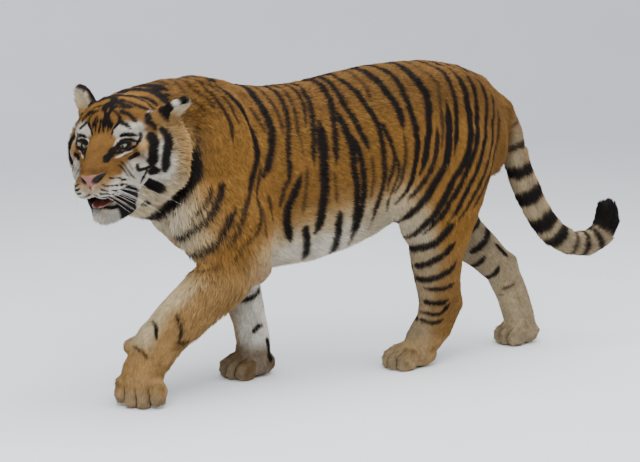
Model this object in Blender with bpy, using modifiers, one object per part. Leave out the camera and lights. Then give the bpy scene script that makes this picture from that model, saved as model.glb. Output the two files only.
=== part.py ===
"""Walking male Amur tiger as a life-size still model, head turned to its left.

Metres, +Z up, head towards -X, the tiger's own left side towards -Y. The origin is on the
floor under the middle of the body's box. Muscle and bone masses are laid up as overlapping
closed volumes, fused into one body, thinned to a faceted surface, and parted with thin cuts.
"""
import math

import bmesh
import bpy
from mathutils import Euler, Matrix, Vector

# ---------------------------------------------------------------- driving dimensions
FLOOR = 0.0
SOLE_SINK = 0.005          # depth of the paw volumes that the floor plane shaves flat
SOLE_SNAP = 0.0015         # anything this near the floor belongs to a sole
GAP = 0.0004               # clearance between neighbouring pieces
BODY_VOXEL = 0.010
HEAD_VOXEL = 0.0045
WHOLE_VOXEL = 0.0055
WHOLE_TRIANGLES = 3750     # of the undivided body
BODY_SOFTENING = 14        # smoothing rounds after each fusing
HEAD_SOFTENING = 12
PAW_SOFTENING = 3
WHOLE_SOFTENING = 4
RING_SIDES = 20
CUTTER_SIDES = 10
BALL_SIDES = 24
SMALL_BALL_SIDES = 14
DOME_ANGLES = [math.radians(angle) for angle in (0, 32, 62)]   # rings of a limb's round end

ORIGIN = Vector((0.1467, -0.0334, 0.0))   # bottom centre of the box, in laying-out coordinates

HEAD_PLACE = Vector((-0.823, -0.176, 0.828))   # midway between the eyes
HEAD_YAW = math.radians(41)      # from straight ahead towards the tiger's left
HEAD_PITCH = math.radians(12)    # nose down
HEAD_ROLL = math.radians(3)      # left eye raised
# in the head frame, each volume as (centre, radii)
EYE_SPACING = 0.124
EYE_X = -0.004
EYE_RADIUS = 0.0185
EAR_X = -0.142
EAR_SET = {-1: (0.120, 0.050, 28, 8), 1: (0.138, 0.036, 72, 52)}   # out, up, swing, lean
NOSE_REGION = ((0.142, 0, -0.070), (0.024, 0.036, 0.026))
TONGUE = ((0.058, 0, -0.152), (0.042, 0.028, 0.012))
TONGUE_DROP = 4            # degrees
MOUTH_APEX = (0.006, -0.150)            # x and z of the mouth corners
MOUTH_FRONT = (0.180, -0.118, -0.184)   # x, upper z and lower z in front of the lips
MOUTH_HALF = 0.120
# in each ear's own frame, its height along +Z and its opening towards +X
EAR_RADII = (0.024, 0.047, 0.060)
EAR_HOLLOW = ((0.026, 0, 0.052), (0.030, 0.038, 0.044))
EAR_REGION = ((0, 0, 0.060), (0.052, 0.064, 0.062))
# toe by toe: side step in toe spacings, and reach as a share of the paw's length
TOES = ((-1.5, 0.26), (-0.5, 0.36), (0.5, 0.36), (1.5, 0.26))
TOE_FAN = 5                # degrees each toe turns outward per spacing

SHARP_ANGLE = math.radians(55)
# words in a piece's name, then its linear colour and roughness; the first match counts
LOOKS = (
    (("eye",), ((0.30, 0.36, 0.22), 0.10)),
    (("nose",), ((0.55, 0.24, 0.20), 0.45)),
    (("tongue",), ((0.62, 0.16, 0.10), 0.40)),
    (("jaw", "belly"), ((0.80, 0.74, 0.62), 0.85)),
    (("paw", "foot"), ((0.62, 0.42, 0.24), 0.85)),
    (("tail",), ((0.55, 0.40, 0.24), 0.85)),
    (("",), ((0.60, 0.30, 0.09), 0.85)),
)


# ---------------------------------------------------------------- laying-up tools
def head_matrix():
    """Head frame: +X to the nose, +Y to the tiger's left, +Z to the crown."""
    forward = Vector((-math.cos(HEAD_YAW) * math.cos(HEAD_PITCH),
                      -math.sin(HEAD_YAW) * math.cos(HEAD_PITCH),
                      -math.sin(HEAD_PITCH)))
    left = Vector((math.sin(HEAD_YAW), -math.cos(HEAD_YAW), 0.0))
    up = forward.cross(left)
    turn = Matrix((forward, left, up)).transposed().to_4x4()
    return Matrix.Translation(HEAD_PLACE) @ turn @ Matrix.Rotation(HEAD_ROLL, 4, "X")


def ball(clay, centre, radii, turn=(0, 0, 0), frame=Matrix.Identity(4), sides=BALL_SIDES):
    """An ellipsoid with its three radii, turned by degrees about X, Y and Z."""
    spin = Euler([math.radians(angle) for angle in turn]).to_matrix().to_4x4()
    place = frame @ Matrix.Translation(centre) @ spin @ Matrix.Diagonal((*radii, 1.0))
    bmesh.ops.create_uvsphere(clay, u_segments=sides, v_segments=sides * 9 // 16, radius=1.0,
                              matrix=place)


def pair(clay, centre, radii, turn=(0, 0, 0), frame=Matrix.Identity(4)):
    """A ball and its mirror image across the frame's XZ plane."""
    x, y, z = centre
    roll, pitch, yaw = turn
    ball(clay, (x, y, z), radii, (roll, pitch, yaw), frame)
    ball(clay, (x, -y, z), radii, (-roll, pitch, -yaw), frame)


def section(clay, centre, across, upward, wide, high, low, sides=RING_SIDES):
    """A ring of points: half width, and half heights above and below the centre."""
    ring = []
    for k in range(sides):
        angle = 2 * math.pi * k / sides
        tall = high if math.sin(angle) > 0 else low
        offset = across * (wide * math.cos(angle)) + upward * (tall * math.sin(angle))
        ring.append(clay.verts.new(centre + offset))
    return ring


def skin_rings(clay, rings):
    """Joins neighbouring rings with quads and closes both ends."""
    for first, second in zip(rings, rings[1:]):
        for k in range(len(first)):
            after = (k + 1) % len(first)
            clay.faces.new((first[k], first[after], second[after], second[k]))
    clay.faces.new(list(reversed(rings[0])))
    clay.faces.new(rings[-1])


def limb(clay, stations, frame=Matrix.Identity(4)):
    """A tapering tube with domed ends.

    Each station is (x, y, z, half width across the body, half depth along it).
    """
    centres = [frame @ Vector(s[:3]) for s in stations]
    sideways = (frame.to_3x3() @ Vector((0, 1, 0))).normalized()
    rings = []
    last = len(stations) - 1
    for i, (centre, station) in enumerate(zip(centres, stations)):
        along = (centres[min(i + 1, last)] - centres[max(i - 1, 0)]).normalized()
        across = (sideways - along * sideways.dot(along)).normalized()
        upward = across.cross(along)
        wide, deep = station[3:5]
        domes = [(0, 1.0)]
        if i in (0, last):
            outward = -1 if i == 0 else 1
            domes = [(outward * math.sin(a) * min(wide, deep), math.cos(a))
                     for a in DOME_ANGLES]
            domes = domes[::-1] if i == 0 else domes
        for shift, scale in domes:
            rings.append(section(clay, centre + along * shift, across, upward,
                                 wide * scale, deep * scale, deep * scale))
    skin_rings(clay, rings)


def barrel(clay, stations):
    """The trunk: upright sections given as (x, top, bottom, half width, height of the width)."""
    rings = []
    for x, top, bottom, wide, middle in stations:
        rings.append(section(clay, Vector((x, 0, middle)), Vector((0, 1, 0)),
                             Vector((0, 0, 1)), wide, top - middle, middle - bottom))
    skin_rings(clay, rings)


# ---------------------------------------------------------------- the body's masses
def lay_trunk(clay):
    """Rib cage, belly, loin and rump."""
    barrel(clay, [
        (-0.60, 0.995, 0.550, 0.126, 0.74),
        (-0.52, 1.004, 0.468, 0.154, 0.70),
        (-0.43, 1.006, 0.415, 0.174, 0.67),
        (-0.33, 0.986, 0.388, 0.188, 0.64),
        (-0.21, 0.972, 0.374, 0.196, 0.62),
        (-0.07, 0.986, 0.384, 0.198, 0.63),
        (0.05, 1.010, 0.410, 0.194, 0.65),
        (0.16, 1.028, 0.446, 0.186, 0.69),
        (0.27, 1.038, 0.498, 0.176, 0.74),
        (0.40, 1.040, 0.560, 0.168, 0.79),
        (0.52, 1.022, 0.600, 0.148, 0.82),
        (0.62, 0.984, 0.650, 0.116, 0.82),
        (0.70, 0.915, 0.720, 0.064, 0.81),
    ])
    for side in (-1, 1):
        ball(clay, (0.44, side * 0.085, 0.88), (0.20, 0.088, 0.138), (0, 12, 0))
        ball(clay, (-0.42, side * 0.060, 0.925), (0.14, 0.058, 0.085), (0, 8, 0))
        ball(clay, (0.60, side * 0.075, 0.77), (0.088, 0.060, 0.14), (0, -12, 0))


def lay_neck(clay):
    """A deep neck that bends to the left, with a high crest."""
    limb(clay, [
        (-0.46, 0.000, 0.780, 0.165, 0.232),
        (-0.57, -0.010, 0.785, 0.155, 0.222),
        (-0.66, -0.030, 0.785, 0.150, 0.208),
        (-0.73, -0.065, 0.790, 0.142, 0.185),
    ])


def lay_foreleg_left(clay):
    """Reaching forward, the toes just down."""
    ball(clay, (-0.455, -0.130, 0.780), (0.130, 0.072, 0.205), (0, 14, 0))
    ball(clay, (-0.450, -0.148, 0.590), (0.155, 0.076, 0.170), (0, -22, 0))
    limb(clay, [
        (-0.400, -0.165, 0.560, 0.080, 0.138),
        (-0.385, -0.168, 0.460, 0.078, 0.118),
        (-0.430, -0.165, 0.388, 0.074, 0.098),
        (-0.512, -0.156, 0.318, 0.070, 0.087),
        (-0.592, -0.145, 0.250, 0.066, 0.080),
        (-0.645, -0.134, 0.192, 0.068, 0.074),
        (-0.664, -0.125, 0.145, 0.070, 0.066),
    ])
    ball(clay, (-0.315, -0.165, 0.415), (0.055, 0.045, 0.060), (0, 20, 0))
    ball(clay, (-0.712, -0.075, 0.182), (0.028, 0.024, 0.036), (0, 30, 0))


def lay_foreleg_right(clay):
    """Upright, carrying weight."""
    ball(clay, (-0.440, 0.130, 0.780), (0.125, 0.072, 0.205), (0, 6, 0))
    ball(clay, (-0.380, 0.146, 0.590), (0.145, 0.074, 0.155), (0, 28, 0))
    limb(clay, [
        (-0.315, 0.150, 0.560, 0.076, 0.125),
        (-0.280, 0.140, 0.460, 0.074, 0.098),
        (-0.262, 0.120, 0.370, 0.068, 0.080),
        (-0.244, 0.095, 0.275, 0.060, 0.068),
        (-0.226, 0.078, 0.190, 0.055, 0.060),
        (-0.216, 0.068, 0.120, 0.058, 0.058),
        (-0.222, 0.062, 0.070, 0.064, 0.060),
    ])
    ball(clay, (-0.205, 0.140, 0.450), (0.048, 0.042, 0.055))
    ball(clay, (-0.240, 0.018, 0.140), (0.024, 0.020, 0.032))


def lay_hindleg_left(clay):
    """Under the body, flat on the floor with the hock low."""
    limb(clay, [
        (0.450, -0.095, 0.800, 0.095, 0.170),
        (0.425, -0.118, 0.680, 0.088, 0.172),
        (0.397, -0.130, 0.560, 0.078, 0.150),
        (0.385, -0.130, 0.460, 0.068, 0.124),
        (0.384, -0.120, 0.370, 0.060, 0.100),
        (0.398, -0.108, 0.285, 0.056, 0.084),
        (0.414, -0.098, 0.208, 0.053, 0.080),
        (0.392, -0.088, 0.135, 0.053, 0.074),
        (0.348, -0.080, 0.078, 0.056, 0.064),
    ])
    ball(clay, (0.300, -0.128, 0.515), (0.064, 0.058, 0.085), (0, 12, 0))
    ball(clay, (0.474, -0.096, 0.208), (0.030, 0.030, 0.042), (0, 20, 0))
    ball(clay, (0.245, -0.115, 0.600), (0.080, 0.040, 0.090), (0, -35, 0))


def lay_hindleg_right(clay):
    """Trailing behind, hock raised as it pushes off."""
    limb(clay, [
        (0.470, 0.095, 0.800, 0.095, 0.165),
        (0.490, 0.115, 0.680, 0.085, 0.158),
        (0.520, 0.122, 0.570, 0.076, 0.135),
        (0.568, 0.120, 0.480, 0.066, 0.110),
        (0.638, 0.108, 0.400, 0.056, 0.086),
        (0.718, 0.096, 0.335, 0.051, 0.071),
        (0.785, 0.086, 0.268, 0.049, 0.066),
        (0.826, 0.076, 0.180, 0.048, 0.062),
        (0.850, 0.068, 0.100, 0.052, 0.060),
        (0.856, 0.064, 0.060, 0.056, 0.058),
    ])
    ball(clay, (0.440, 0.128, 0.530), (0.060, 0.056, 0.085), (0, 20, 0))
    ball(clay, (0.820, 0.088, 0.298), (0.032, 0.030, 0.042), (0, -35, 0))
    ball(clay, (0.280, 0.115, 0.600), (0.085, 0.040, 0.085), (0, -35, 0))


def lay_paw(clay, place, yaw, pitch, width, length):
    """A paw with four toes. Its frame has +X to the toe tips and its sole at z = 0."""
    frame = (Matrix.Translation(place) @ Matrix.Rotation(math.radians(180 + yaw), 4, "Z")
             @ Matrix.Rotation(math.radians(pitch), 4, "Y"))
    toe_wide = width * 0.155
    ball(clay, (-0.05 * length, 0, 0.048), (0.42 * length, 0.44 * width, 0.048), frame=frame)
    ball(clay, (0.12 * length, 0, 0.058), (0.30 * length, 0.40 * width, 0.036), (0, 12, 0), frame)
    for k, forward in TOES:
        spread = k * TOE_FAN
        ball(clay, (forward * length, k * width * 0.245, 0.034),
             (0.215 * length, toe_wide, 0.036), (0, 6, spread), frame)
        ball(clay, ((forward - 0.10) * length, k * width * 0.225, 0.054),
             (0.13 * length, toe_wide * 0.95, 0.030), (0, 20, spread), frame)


def lay_paws(clay):
    """All four paws, their soles just below the floor plane."""
    sole = FLOOR - SOLE_SINK
    lay_paw(clay, (-0.669, -0.112, 0.076), 42, 58, 0.165, 0.200)
    lay_paw(clay, (-0.230, 0.060, sole), 6, 0, 0.144, 0.190)
    lay_paw(clay, (0.316, -0.080, sole), 2, 0, 0.130, 0.195)
    lay_paw(clay, (0.850, 0.062, sole), 0, 0, 0.126, 0.165)


def lay_tail(clay):
    """Hanging from the rump, sweeping back and curling up at the tip."""
    limb(clay, [
        (0.620, 0.000, 0.905, 0.060, 0.055),
        (0.705, 0.000, 0.852, 0.054, 0.055),
        (0.748, 0.000, 0.780, 0.047, 0.050),
        (0.772, 0.000, 0.700, 0.043, 0.046),
        (0.802, 0.000, 0.620, 0.043, 0.045),
        (0.840, 0.000, 0.545, 0.043, 0.045),
        (0.887, 0.002, 0.470, 0.043, 0.044),
        (0.945, 0.004, 0.405, 0.042, 0.043),
        (1.020, 0.006, 0.362, 0.041, 0.042),
        (1.100, 0.008, 0.350, 0.041, 0.043),
        (1.162, 0.010, 0.375, 0.042, 0.044),
        (1.190, 0.010, 0.425, 0.042, 0.044),
        (1.190, 0.010, 0.468, 0.037, 0.040),
    ])


# ---------------------------------------------------------------- the head's masses
def lay_head(clay):
    """Skull, muzzle, cheeks, jaws and ruff, in the head frame."""
    frame = head_matrix()
    ball(clay, (-0.105, 0, 0.014), (0.125, 0.124, 0.110), (0, -4, 0), frame)
    ball(clay, (-0.055, 0, 0.040), (0.074, 0.086, 0.060), (0, 30, 0), frame)
    pair(clay, (-0.100, 0.086, 0.020), (0.075, 0.052, 0.062), (24, 0, 10), frame)
    ball(clay, (-0.010, 0, -0.035), (0.095, 0.088, 0.064), (0, 24, 0), frame)
    # bridge of the nose: broad and flat, falling from the brow to the nose leather
    limb(clay, [
        (-0.030, 0, 0.026, 0.054, 0.038),
        (0.020, 0, -0.002, 0.048, 0.034),
        (0.070, 0, -0.028, 0.042, 0.032),
        (0.112, 0, -0.056, 0.037, 0.032),
    ], frame)
    ball(clay, (0.050, 0, -0.055), (0.076, 0.058, 0.044), (0, 26, 0), frame)
    # muzzle and whisker pads
    ball(clay, (0.064, 0, -0.084), (0.074, 0.064, 0.048), (0, 14, 0), frame)
    pair(clay, (0.094, 0.035, -0.100), (0.048, 0.037, 0.038), (0, 10, -12), frame)
    pair(clay, (0.054, 0.050, -0.102), (0.054, 0.030, 0.040), (0, 8, -18), frame)
    # brows, cheekbones, cheeks and ruff
    pair(clay, (-0.020, 0.060, 0.036), (0.034, 0.040, 0.022), (14, 14, 24), frame)
    pair(clay, (-0.042, 0.088, -0.028), (0.058, 0.044, 0.048), (0, 8, 32), frame)
    pair(clay, (-0.022, 0.070, -0.080), (0.074, 0.050, 0.058), (0, 10, 22), frame)
    pair(clay, (-0.085, 0.110, -0.056), (0.074, 0.058, 0.092), (-6, 0, 16), frame)
    pair(clay, (-0.135, 0.142, -0.074), (0.062, 0.060, 0.114), (-8, -8, 26), frame)
    pair(clay, (-0.110, 0.096, -0.140), (0.078, 0.064, 0.078), (-24, 0, 24), frame)
    # flesh of the lips at the mouth corners
    pair(clay, (0.018, 0.056, -0.138), (0.056, 0.030, 0.050), (0, 10, -12), frame)
    # lower jaw, dropped a little
    ball(clay, (0.054, 0, -0.196), (0.048, 0.050, 0.032), (0, 10, 0), frame)
    pair(clay, (0.000, 0.046, -0.178), (0.076, 0.034, 0.038), (0, 14, -14), frame)
    ball(clay, (-0.030, 0, -0.172), (0.100, 0.070, 0.052), (0, 10, 0), frame)
    # throat and nape, joining the head to the neck
    ball(clay, (-0.140, 0, -0.130), (0.125, 0.120, 0.110), (0, 16, 0), frame)
    ball(clay, (-0.205, 0, -0.018), (0.120, 0.142, 0.134), (0, 10, 0), frame)


def ear_frame(side):
    """Where an ear stands: the right is pricked, the left laid out to the side."""
    outward, height, swing, lean = EAR_SET[side]
    return (head_matrix() @ Matrix.Translation((EAR_X, side * outward, height))
            @ Matrix.Rotation(math.radians(-side * lean), 4, "X")
            @ Matrix.Rotation(math.radians(side * swing), 4, "Z"))


def lay_ear(clay, side):
    """A rounded ear, still solid, with its thick base."""
    frame = ear_frame(side)
    ball(clay, (0, 0, 0.044), EAR_RADII, frame=frame)
    ball(clay, (-0.006, -side * 0.006, -0.006), (0.036, 0.052, 0.042), frame=frame)


# ---------------------------------------------------------------- objects and modifiers
def clear_scene():
    """Removes every object of the open file."""
    for old in list(bpy.data.objects):
        bpy.data.objects.remove(old)


def to_object(name, shape, collection):
    """Turns a bmesh into a named object, its faces turned outward."""
    bmesh.ops.recalc_face_normals(shape, faces=shape.faces)
    mesh = bpy.data.meshes.new(name)
    shape.to_mesh(mesh)
    shape.free()
    made = bpy.data.objects.new(name, mesh)
    collection.objects.link(made)
    if collection == cutters:
        made.hide_render = True
        made.display_type = "WIRE"
    return made


def settle(made):
    """Replaces an object's mesh with its evaluated one and drops the modifiers."""
    graph = bpy.context.evaluated_depsgraph_get()
    mesh = bpy.data.meshes.new_from_object(made.evaluated_get(graph))
    made.modifiers.clear()
    made.data = mesh


def fuse(made, voxel, smoothing):
    """Makes one closed surface of overlapping volumes and softens where they meet."""
    remesh = made.modifiers.new("fuse", "REMESH")
    remesh.mode = "VOXEL"
    remesh.voxel_size = voxel
    if smoothing:
        soften = made.modifiers.new("soften", "SMOOTH")
        soften.factor = 0.5
        soften.iterations = smoothing
    settle(made)


def stand_on_floor(made):
    """Shaves the soles flat where they reach below the floor."""
    for vertex in made.data.vertices:
        if vertex.co.z < FLOOR + SOLE_SNAP:
            vertex.co.z = FLOOR


def thin_out(made, triangles):
    """Collapses a dense surface to about the given number of triangles."""
    made.data.calc_loop_triangles()
    thinner = made.modifiers.new("thinner", "DECIMATE")
    thinner.ratio = triangles / len(made.data.loop_triangles)
    thinner.use_collapse_triangulate = True
    settle(made)


def combine(made, cutter, operation):
    """Boolean of one object with a hidden cutter."""
    joint = made.modifiers.new(cutter.name, "BOOLEAN")
    joint.operation = operation
    joint.solver = "EXACT"
    joint.object = cutter
    settle(made)


def clay_object(name, layers, voxel, smoothing):
    """Lays up masses and fuses them into one object."""
    clay = bmesh.new()
    for lay in layers:
        lay(clay)
    made = to_object(name, clay, parts)
    fuse(made, voxel, smoothing)
    return made


def lay_head_and_ears(clay):
    """The head with both ears on it."""
    lay_head(clay)
    lay_ear(clay, -1)
    lay_ear(clay, 1)


def join(name, pieces):
    """Puts several meshes into one object, overlaps and all."""
    whole = bmesh.new()
    for piece in pieces:
        whole.from_mesh(piece.data)
        bpy.data.objects.remove(piece)
    return to_object(name, whole, parts)


# ---------------------------------------------------------------- cutters
def block(name, centre, along, wide, tall, thick, frame=Matrix.Identity(4)):
    """A flat box whose thin side lies along the given direction."""
    along = Vector(along).normalized()
    sideways = Vector((0, 1, 0))
    sideways = (sideways - along * sideways.dot(along)).normalized()
    turn = Matrix((along, sideways, along.cross(sideways))).transposed().to_4x4()
    shape = bmesh.new()
    size = Matrix.Diagonal((thick, wide, tall, 1.0))
    bmesh.ops.create_cube(shape, size=1.0,
                          matrix=frame @ Matrix.Translation(centre) @ turn @ size)
    return to_object(name, shape, cutters)


def slab(name, centre, along, wide, tall, frame=Matrix.Identity(4)):
    """The thin cutter that parts two neighbouring pieces."""
    return block(name, centre, along, wide, tall, GAP, frame)


def sleeve(name, stations, grow):
    """A flat-ended loft around an upper leg, optionally a little larger all round."""
    centres = [Vector(s[:3]) for s in stations]
    last = len(stations) - 1
    shape = bmesh.new()
    rings = []
    for i, (centre, station) in enumerate(zip(centres, stations)):
        along = (centres[min(i + 1, last)] - centres[max(i - 1, 0)]).normalized()
        across = (Vector((0, 1, 0)) - along * along.y).normalized()
        shift = grow * ((i == last) - (i == 0))
        wide, deep = station[3] + grow, station[4] + grow
        rings.append(section(shape, centre + along * shift, across, across.cross(along),
                             wide, deep, deep, CUTTER_SIDES))
    skin_rings(shape, rings)
    # the same diagonals at every size keep the gap even
    bmesh.ops.triangulate(shape, faces=shape.faces, quad_method="FIXED")
    return to_object(name, shape, cutters)


def ball_cutter(name, centre, radii, frame, grow=0.0):
    """An ellipsoid region in the given frame, optionally a little larger all round."""
    shape = bmesh.new()
    ball(shape, centre, [radius + grow for radius in radii], (0, 0, 0), frame, SMALL_BALL_SIDES)
    return to_object(name, shape, cutters)


def wedge(name, shrink=0.0):
    """The open mouth: a wedge from the mouth corners to the front of the lips."""
    apex_x, apex_z = MOUTH_APEX
    front_x, top_z, low_z = MOUTH_FRONT
    corners = [(apex_x + shrink * 4, apex_z), (front_x, top_z - shrink), (front_x, low_z + shrink)]
    shape = bmesh.new()
    sides = [[shape.verts.new((x, y, z)) for x, z in corners]
             for y in (-MOUTH_HALF, MOUTH_HALF)]
    shape.faces.new(sides[0])
    shape.faces.new(list(reversed(sides[1])))
    for k in range(3):
        after = (k + 1) % 3
        shape.faces.new((sides[0][after], sides[0][k], sides[1][k], sides[1][after]))
    shape.transform(head_matrix())
    return to_object(name, shape, cutters)


def carve(body, name, region, grown):
    """Takes the part of the body inside a region out as a piece of its own."""
    piece = bpy.data.objects.new(name, body.data.copy())
    parts.objects.link(piece)
    combine(piece, region, "INTERSECT")
    combine(body, grown, "DIFFERENCE")
    return piece


def islands(mesh):
    """The connected groups of faces of a mesh."""
    shape = bmesh.new()
    shape.from_mesh(mesh)
    shape.faces.ensure_lookup_table()
    seen = set()
    groups = []
    for start in shape.faces:
        if start.index in seen:
            continue
        seen.add(start.index)
        group = [start]
        for face in group:
            for edge in face.edges:
                for near in edge.link_faces:
                    if near.index not in seen:
                        seen.add(near.index)
                        group.append(near)
        groups.append([face.index for face in group])
    shape.free()
    return groups


def part_body(body, seeds):
    """Makes an object of every island of the body, named by the nearest seed point."""
    names = {}
    for group in islands(body.data):
        middle = Vector()
        corners = 0
        for index in group:
            for vertex in body.data.polygons[index].vertices:
                middle += body.data.vertices[vertex].co
                corners += 1
        middle /= corners
        name = min(seeds, key=lambda key: (Vector(seeds[key]) - middle).length)
        names.setdefault(name, []).append(set(group))
    for name, groups in names.items():
        keep = set.union(*groups)
        shape = bmesh.new()
        shape.from_mesh(body.data)
        shape.faces.ensure_lookup_table()
        drop = [face for face in shape.faces if face.index not in keep]
        bmesh.ops.delete(shape, geom=drop, context="FACES")
        to_object(name, shape, parts)
    bpy.data.objects.remove(body)


# ---------------------------------------------------------------- dividing the body
def leg_sleeves():
    """Regions that hold each upper leg, ending flat at the elbow or knee."""
    return {
        "foreleg_left_upper": [
            (-0.420, -0.215, 0.930, 0.050, 0.070),
            (-0.425, -0.205, 0.800, 0.110, 0.145),
            (-0.430, -0.200, 0.660, 0.120, 0.175),
            (-0.410, -0.190, 0.520, 0.120, 0.175),
            (-0.410, -0.180, 0.400, 0.120, 0.165),
        ],
        "foreleg_right_upper": [
            (-0.430, 0.215, 0.930, 0.050, 0.070),
            (-0.430, 0.205, 0.800, 0.110, 0.150),
            (-0.400, 0.195, 0.660, 0.115, 0.180),
            (-0.310, 0.170, 0.540, 0.130, 0.180),
            (-0.275, 0.150, 0.450, 0.128, 0.155),
            (-0.275, 0.150, 0.355, 0.125, 0.145),
        ],
        "hindleg_left_thigh": [
            (0.470, -0.200, 0.900, 0.070, 0.100),
            (0.460, -0.190, 0.800, 0.120, 0.190),
            (0.430, -0.180, 0.680, 0.120, 0.200),
            (0.390, -0.165, 0.560, 0.120, 0.195),
            (0.380, -0.140, 0.440, 0.105, 0.165),
        ],
        "hindleg_right_thigh": [
            (0.470, 0.200, 0.900, 0.070, 0.100),
            (0.480, 0.190, 0.800, 0.120, 0.190),
            (0.490, 0.180, 0.680, 0.120, 0.195),
            (0.505, 0.170, 0.570, 0.125, 0.205),
            (0.545, 0.150, 0.470, 0.115, 0.190),
        ],
    }


def body_slabs():
    """Thin cuts across neck, trunk, lower legs, tail and jaw."""
    head = head_matrix()
    return [
        slab("cut_neck", (-0.207, 0, -0.045), (0.964, 0, 0.265), 0.46, 0.56, head),
        slab("cut_withers", (-0.550, 0, 0.780), (-0.952, 0, 0.305), 0.50, 0.66),
        slab("cut_ribs", (-0.120, 0, 0.700), (1, 0, 0), 0.60, 0.80),
        slab("cut_loin", (0.150, 0, 0.750), (1, 0, 0), 0.60, 0.80),
        slab("cut_wrist_left", (-0.652, -0.130, 0.196), (-0.62, 0.05, -0.78), 0.24, 0.24),
        slab("cut_wrist_right", (-0.220, 0.072, 0.125), (0, 0, 1), 0.24, 0.24),
        slab("cut_hock_left", (0.410, -0.100, 0.268), (0, 0, 1), 0.18, 0.26),
        slab("cut_hock_right", (0.735, 0.092, 0.325), (0.75, 0, -0.66), 0.20, 0.22),
        slab("cut_tail_root", (0.765, 0, 0.720), (0.15, 0, -0.99), 0.16, 0.116),
        slab("cut_tail_bend", (0.887, 0.002, 0.470), (0.58, 0, -0.81), 0.16, 0.16),
        slab("cut_tail_tip", (1.090, 0.008, 0.352), (1, 0, 0), 0.16, 0.16),
        slab("cut_jaw", (-0.056, 0, -0.213), (-0.69, 0, 0.72), 0.30, 0.185, head),
    ]


def piece_seeds():
    """A point near the middle of every piece that the thin cuts free."""
    head = head_matrix()
    return {
        "head": head @ Vector((-0.04, 0, -0.05)),
        "lower_jaw": head @ Vector((0.02, 0, -0.19)),
        "neck": (-0.62, -0.02, 0.78),
        "chest": (-0.33, 0, 0.68),
        "belly": (0.02, 0, 0.70),
        "hindquarters": (0.42, 0, 0.85),
        "foreleg_left_forearm": (-0.52, -0.16, 0.31),
        "foreleg_left_paw": (-0.69, -0.13, 0.09),
        "foreleg_right_forearm": (-0.25, 0.10, 0.27),
        "foreleg_right_paw": (-0.23, 0.06, 0.05),
        "hindleg_left_shank": (0.39, -0.12, 0.35),
        "hindleg_left_foot": (0.36, -0.09, 0.10),
        "hindleg_right_shank": (0.63, 0.11, 0.40),
        "hindleg_right_foot": (0.84, 0.07, 0.13),
        "tail_base": (0.82, 0, 0.60),
        "tail_middle": (0.98, 0, 0.40),
        "tail_tip": (1.17, 0, 0.41),
    }


def finish(made):
    """Smooth shading with sharp rims, and a material of the piece's own."""
    made.data.shade_smooth()
    made.data.set_sharp_from_angle(angle=SHARP_ANGLE)
    colour, roughness = next(look for words, look in LOOKS if any(w in made.name for w in words))
    material = bpy.data.materials.new(made.name)
    material.use_nodes = True
    shader = material.node_tree.nodes["Principled BSDF"]
    shader.inputs["Base Color"].default_value = (*colour, 1.0)
    shader.inputs["Roughness"].default_value = roughness
    made.data.materials.clear()
    made.data.materials.append(material)


def lay_whole():
    """The undivided animal: body, paws and head fused, thinned and standing flat."""
    body = clay_object("body", (lay_trunk, lay_neck, lay_foreleg_left, lay_foreleg_right,
                                lay_hindleg_left, lay_hindleg_right, lay_tail),
                       BODY_VOXEL, BODY_SOFTENING)
    paws = clay_object("paws", (lay_paws,), HEAD_VOXEL, PAW_SOFTENING)
    head = clay_object("head_clay", (lay_head_and_ears,), HEAD_VOXEL, HEAD_SOFTENING)
    whole = join("whole", (body, paws, head))
    fuse(whole, WHOLE_VOXEL, WHOLE_SOFTENING)
    stand_on_floor(whole)
    thin_out(whole, WHOLE_TRIANGLES)
    stand_on_floor(whole)
    return whole


def part_head(whole):
    """Opens the mouth and gives eyes, ears, nose and tongue their own pieces."""
    head_frame = head_matrix()
    combine(whole, wedge("mouth_cut"), "DIFFERENCE")
    for side, word in ((-1, "right"), (1, "left")):
        centre = (EYE_X, side * EYE_SPACING / 2, 0)
        eye = bmesh.new()
        ball(eye, centre, (EYE_RADIUS,) * 3, (0, 0, 0), head_frame, SMALL_BALL_SIDES)
        to_object("eye_" + word, eye, parts)
        combine(whole, ball_cutter("socket_" + word, centre, (EYE_RADIUS,) * 3,
                                   head_frame, GAP), "DIFFERENCE")
        combine(whole, ball_cutter("hollow_" + word, *EAR_HOLLOW, ear_frame(side)),
                "DIFFERENCE")
        carve(whole, "ear_" + word,
              ball_cutter("ear_region_" + word, *EAR_REGION, ear_frame(side)),
              ball_cutter("ear_bed_" + word, *EAR_REGION, ear_frame(side), GAP))
    carve(whole, "nose", ball_cutter("nose_region", *NOSE_REGION, head_frame),
          ball_cutter("nose_bed", *NOSE_REGION, head_frame, GAP))
    tongue = bmesh.new()
    ball(tongue, *TONGUE, (0, TONGUE_DROP, 0), head_frame, SMALL_BALL_SIDES)
    combine(to_object("tongue", tongue, parts), wedge("tongue_room", GAP), "INTERSECT")


def main():
    """Lays up the animal, divides it and moves it over the origin."""
    clear_scene()
    whole = lay_whole()
    part_head(whole)
    for name, stations in leg_sleeves().items():
        carve(whole, name, sleeve("sleeve_" + name, stations, 0.0),
              sleeve("bed_" + name, stations, GAP))
    for cut in body_slabs():
        combine(whole, cut, "DIFFERENCE")
    part_body(whole, piece_seeds())
    for made in list(parts.objects) + list(cutters.objects):
        made.data.transform(Matrix.Translation(-ORIGIN))
    for made in parts.objects:
        finish(made)


parts = bpy.data.collections.new("walking_tiger")
cutters = bpy.data.collections.new("cutters")
bpy.context.scene.collection.children.link(parts)
bpy.context.scene.collection.children.link(cutters)
main()
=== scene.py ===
"""Dresses the walking tiger: skin, markings, coat, eyes, nose, mouth and whiskers, and a studio.

Every length is in metres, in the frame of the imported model: head towards -X, the tiger's own
left side towards -Y, soles on z = 0. Where a table uses cm or mm, its comment says so.
"""
from __future__ import annotations

import logging
import math
from dataclasses import dataclass
from enum import Enum

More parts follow.
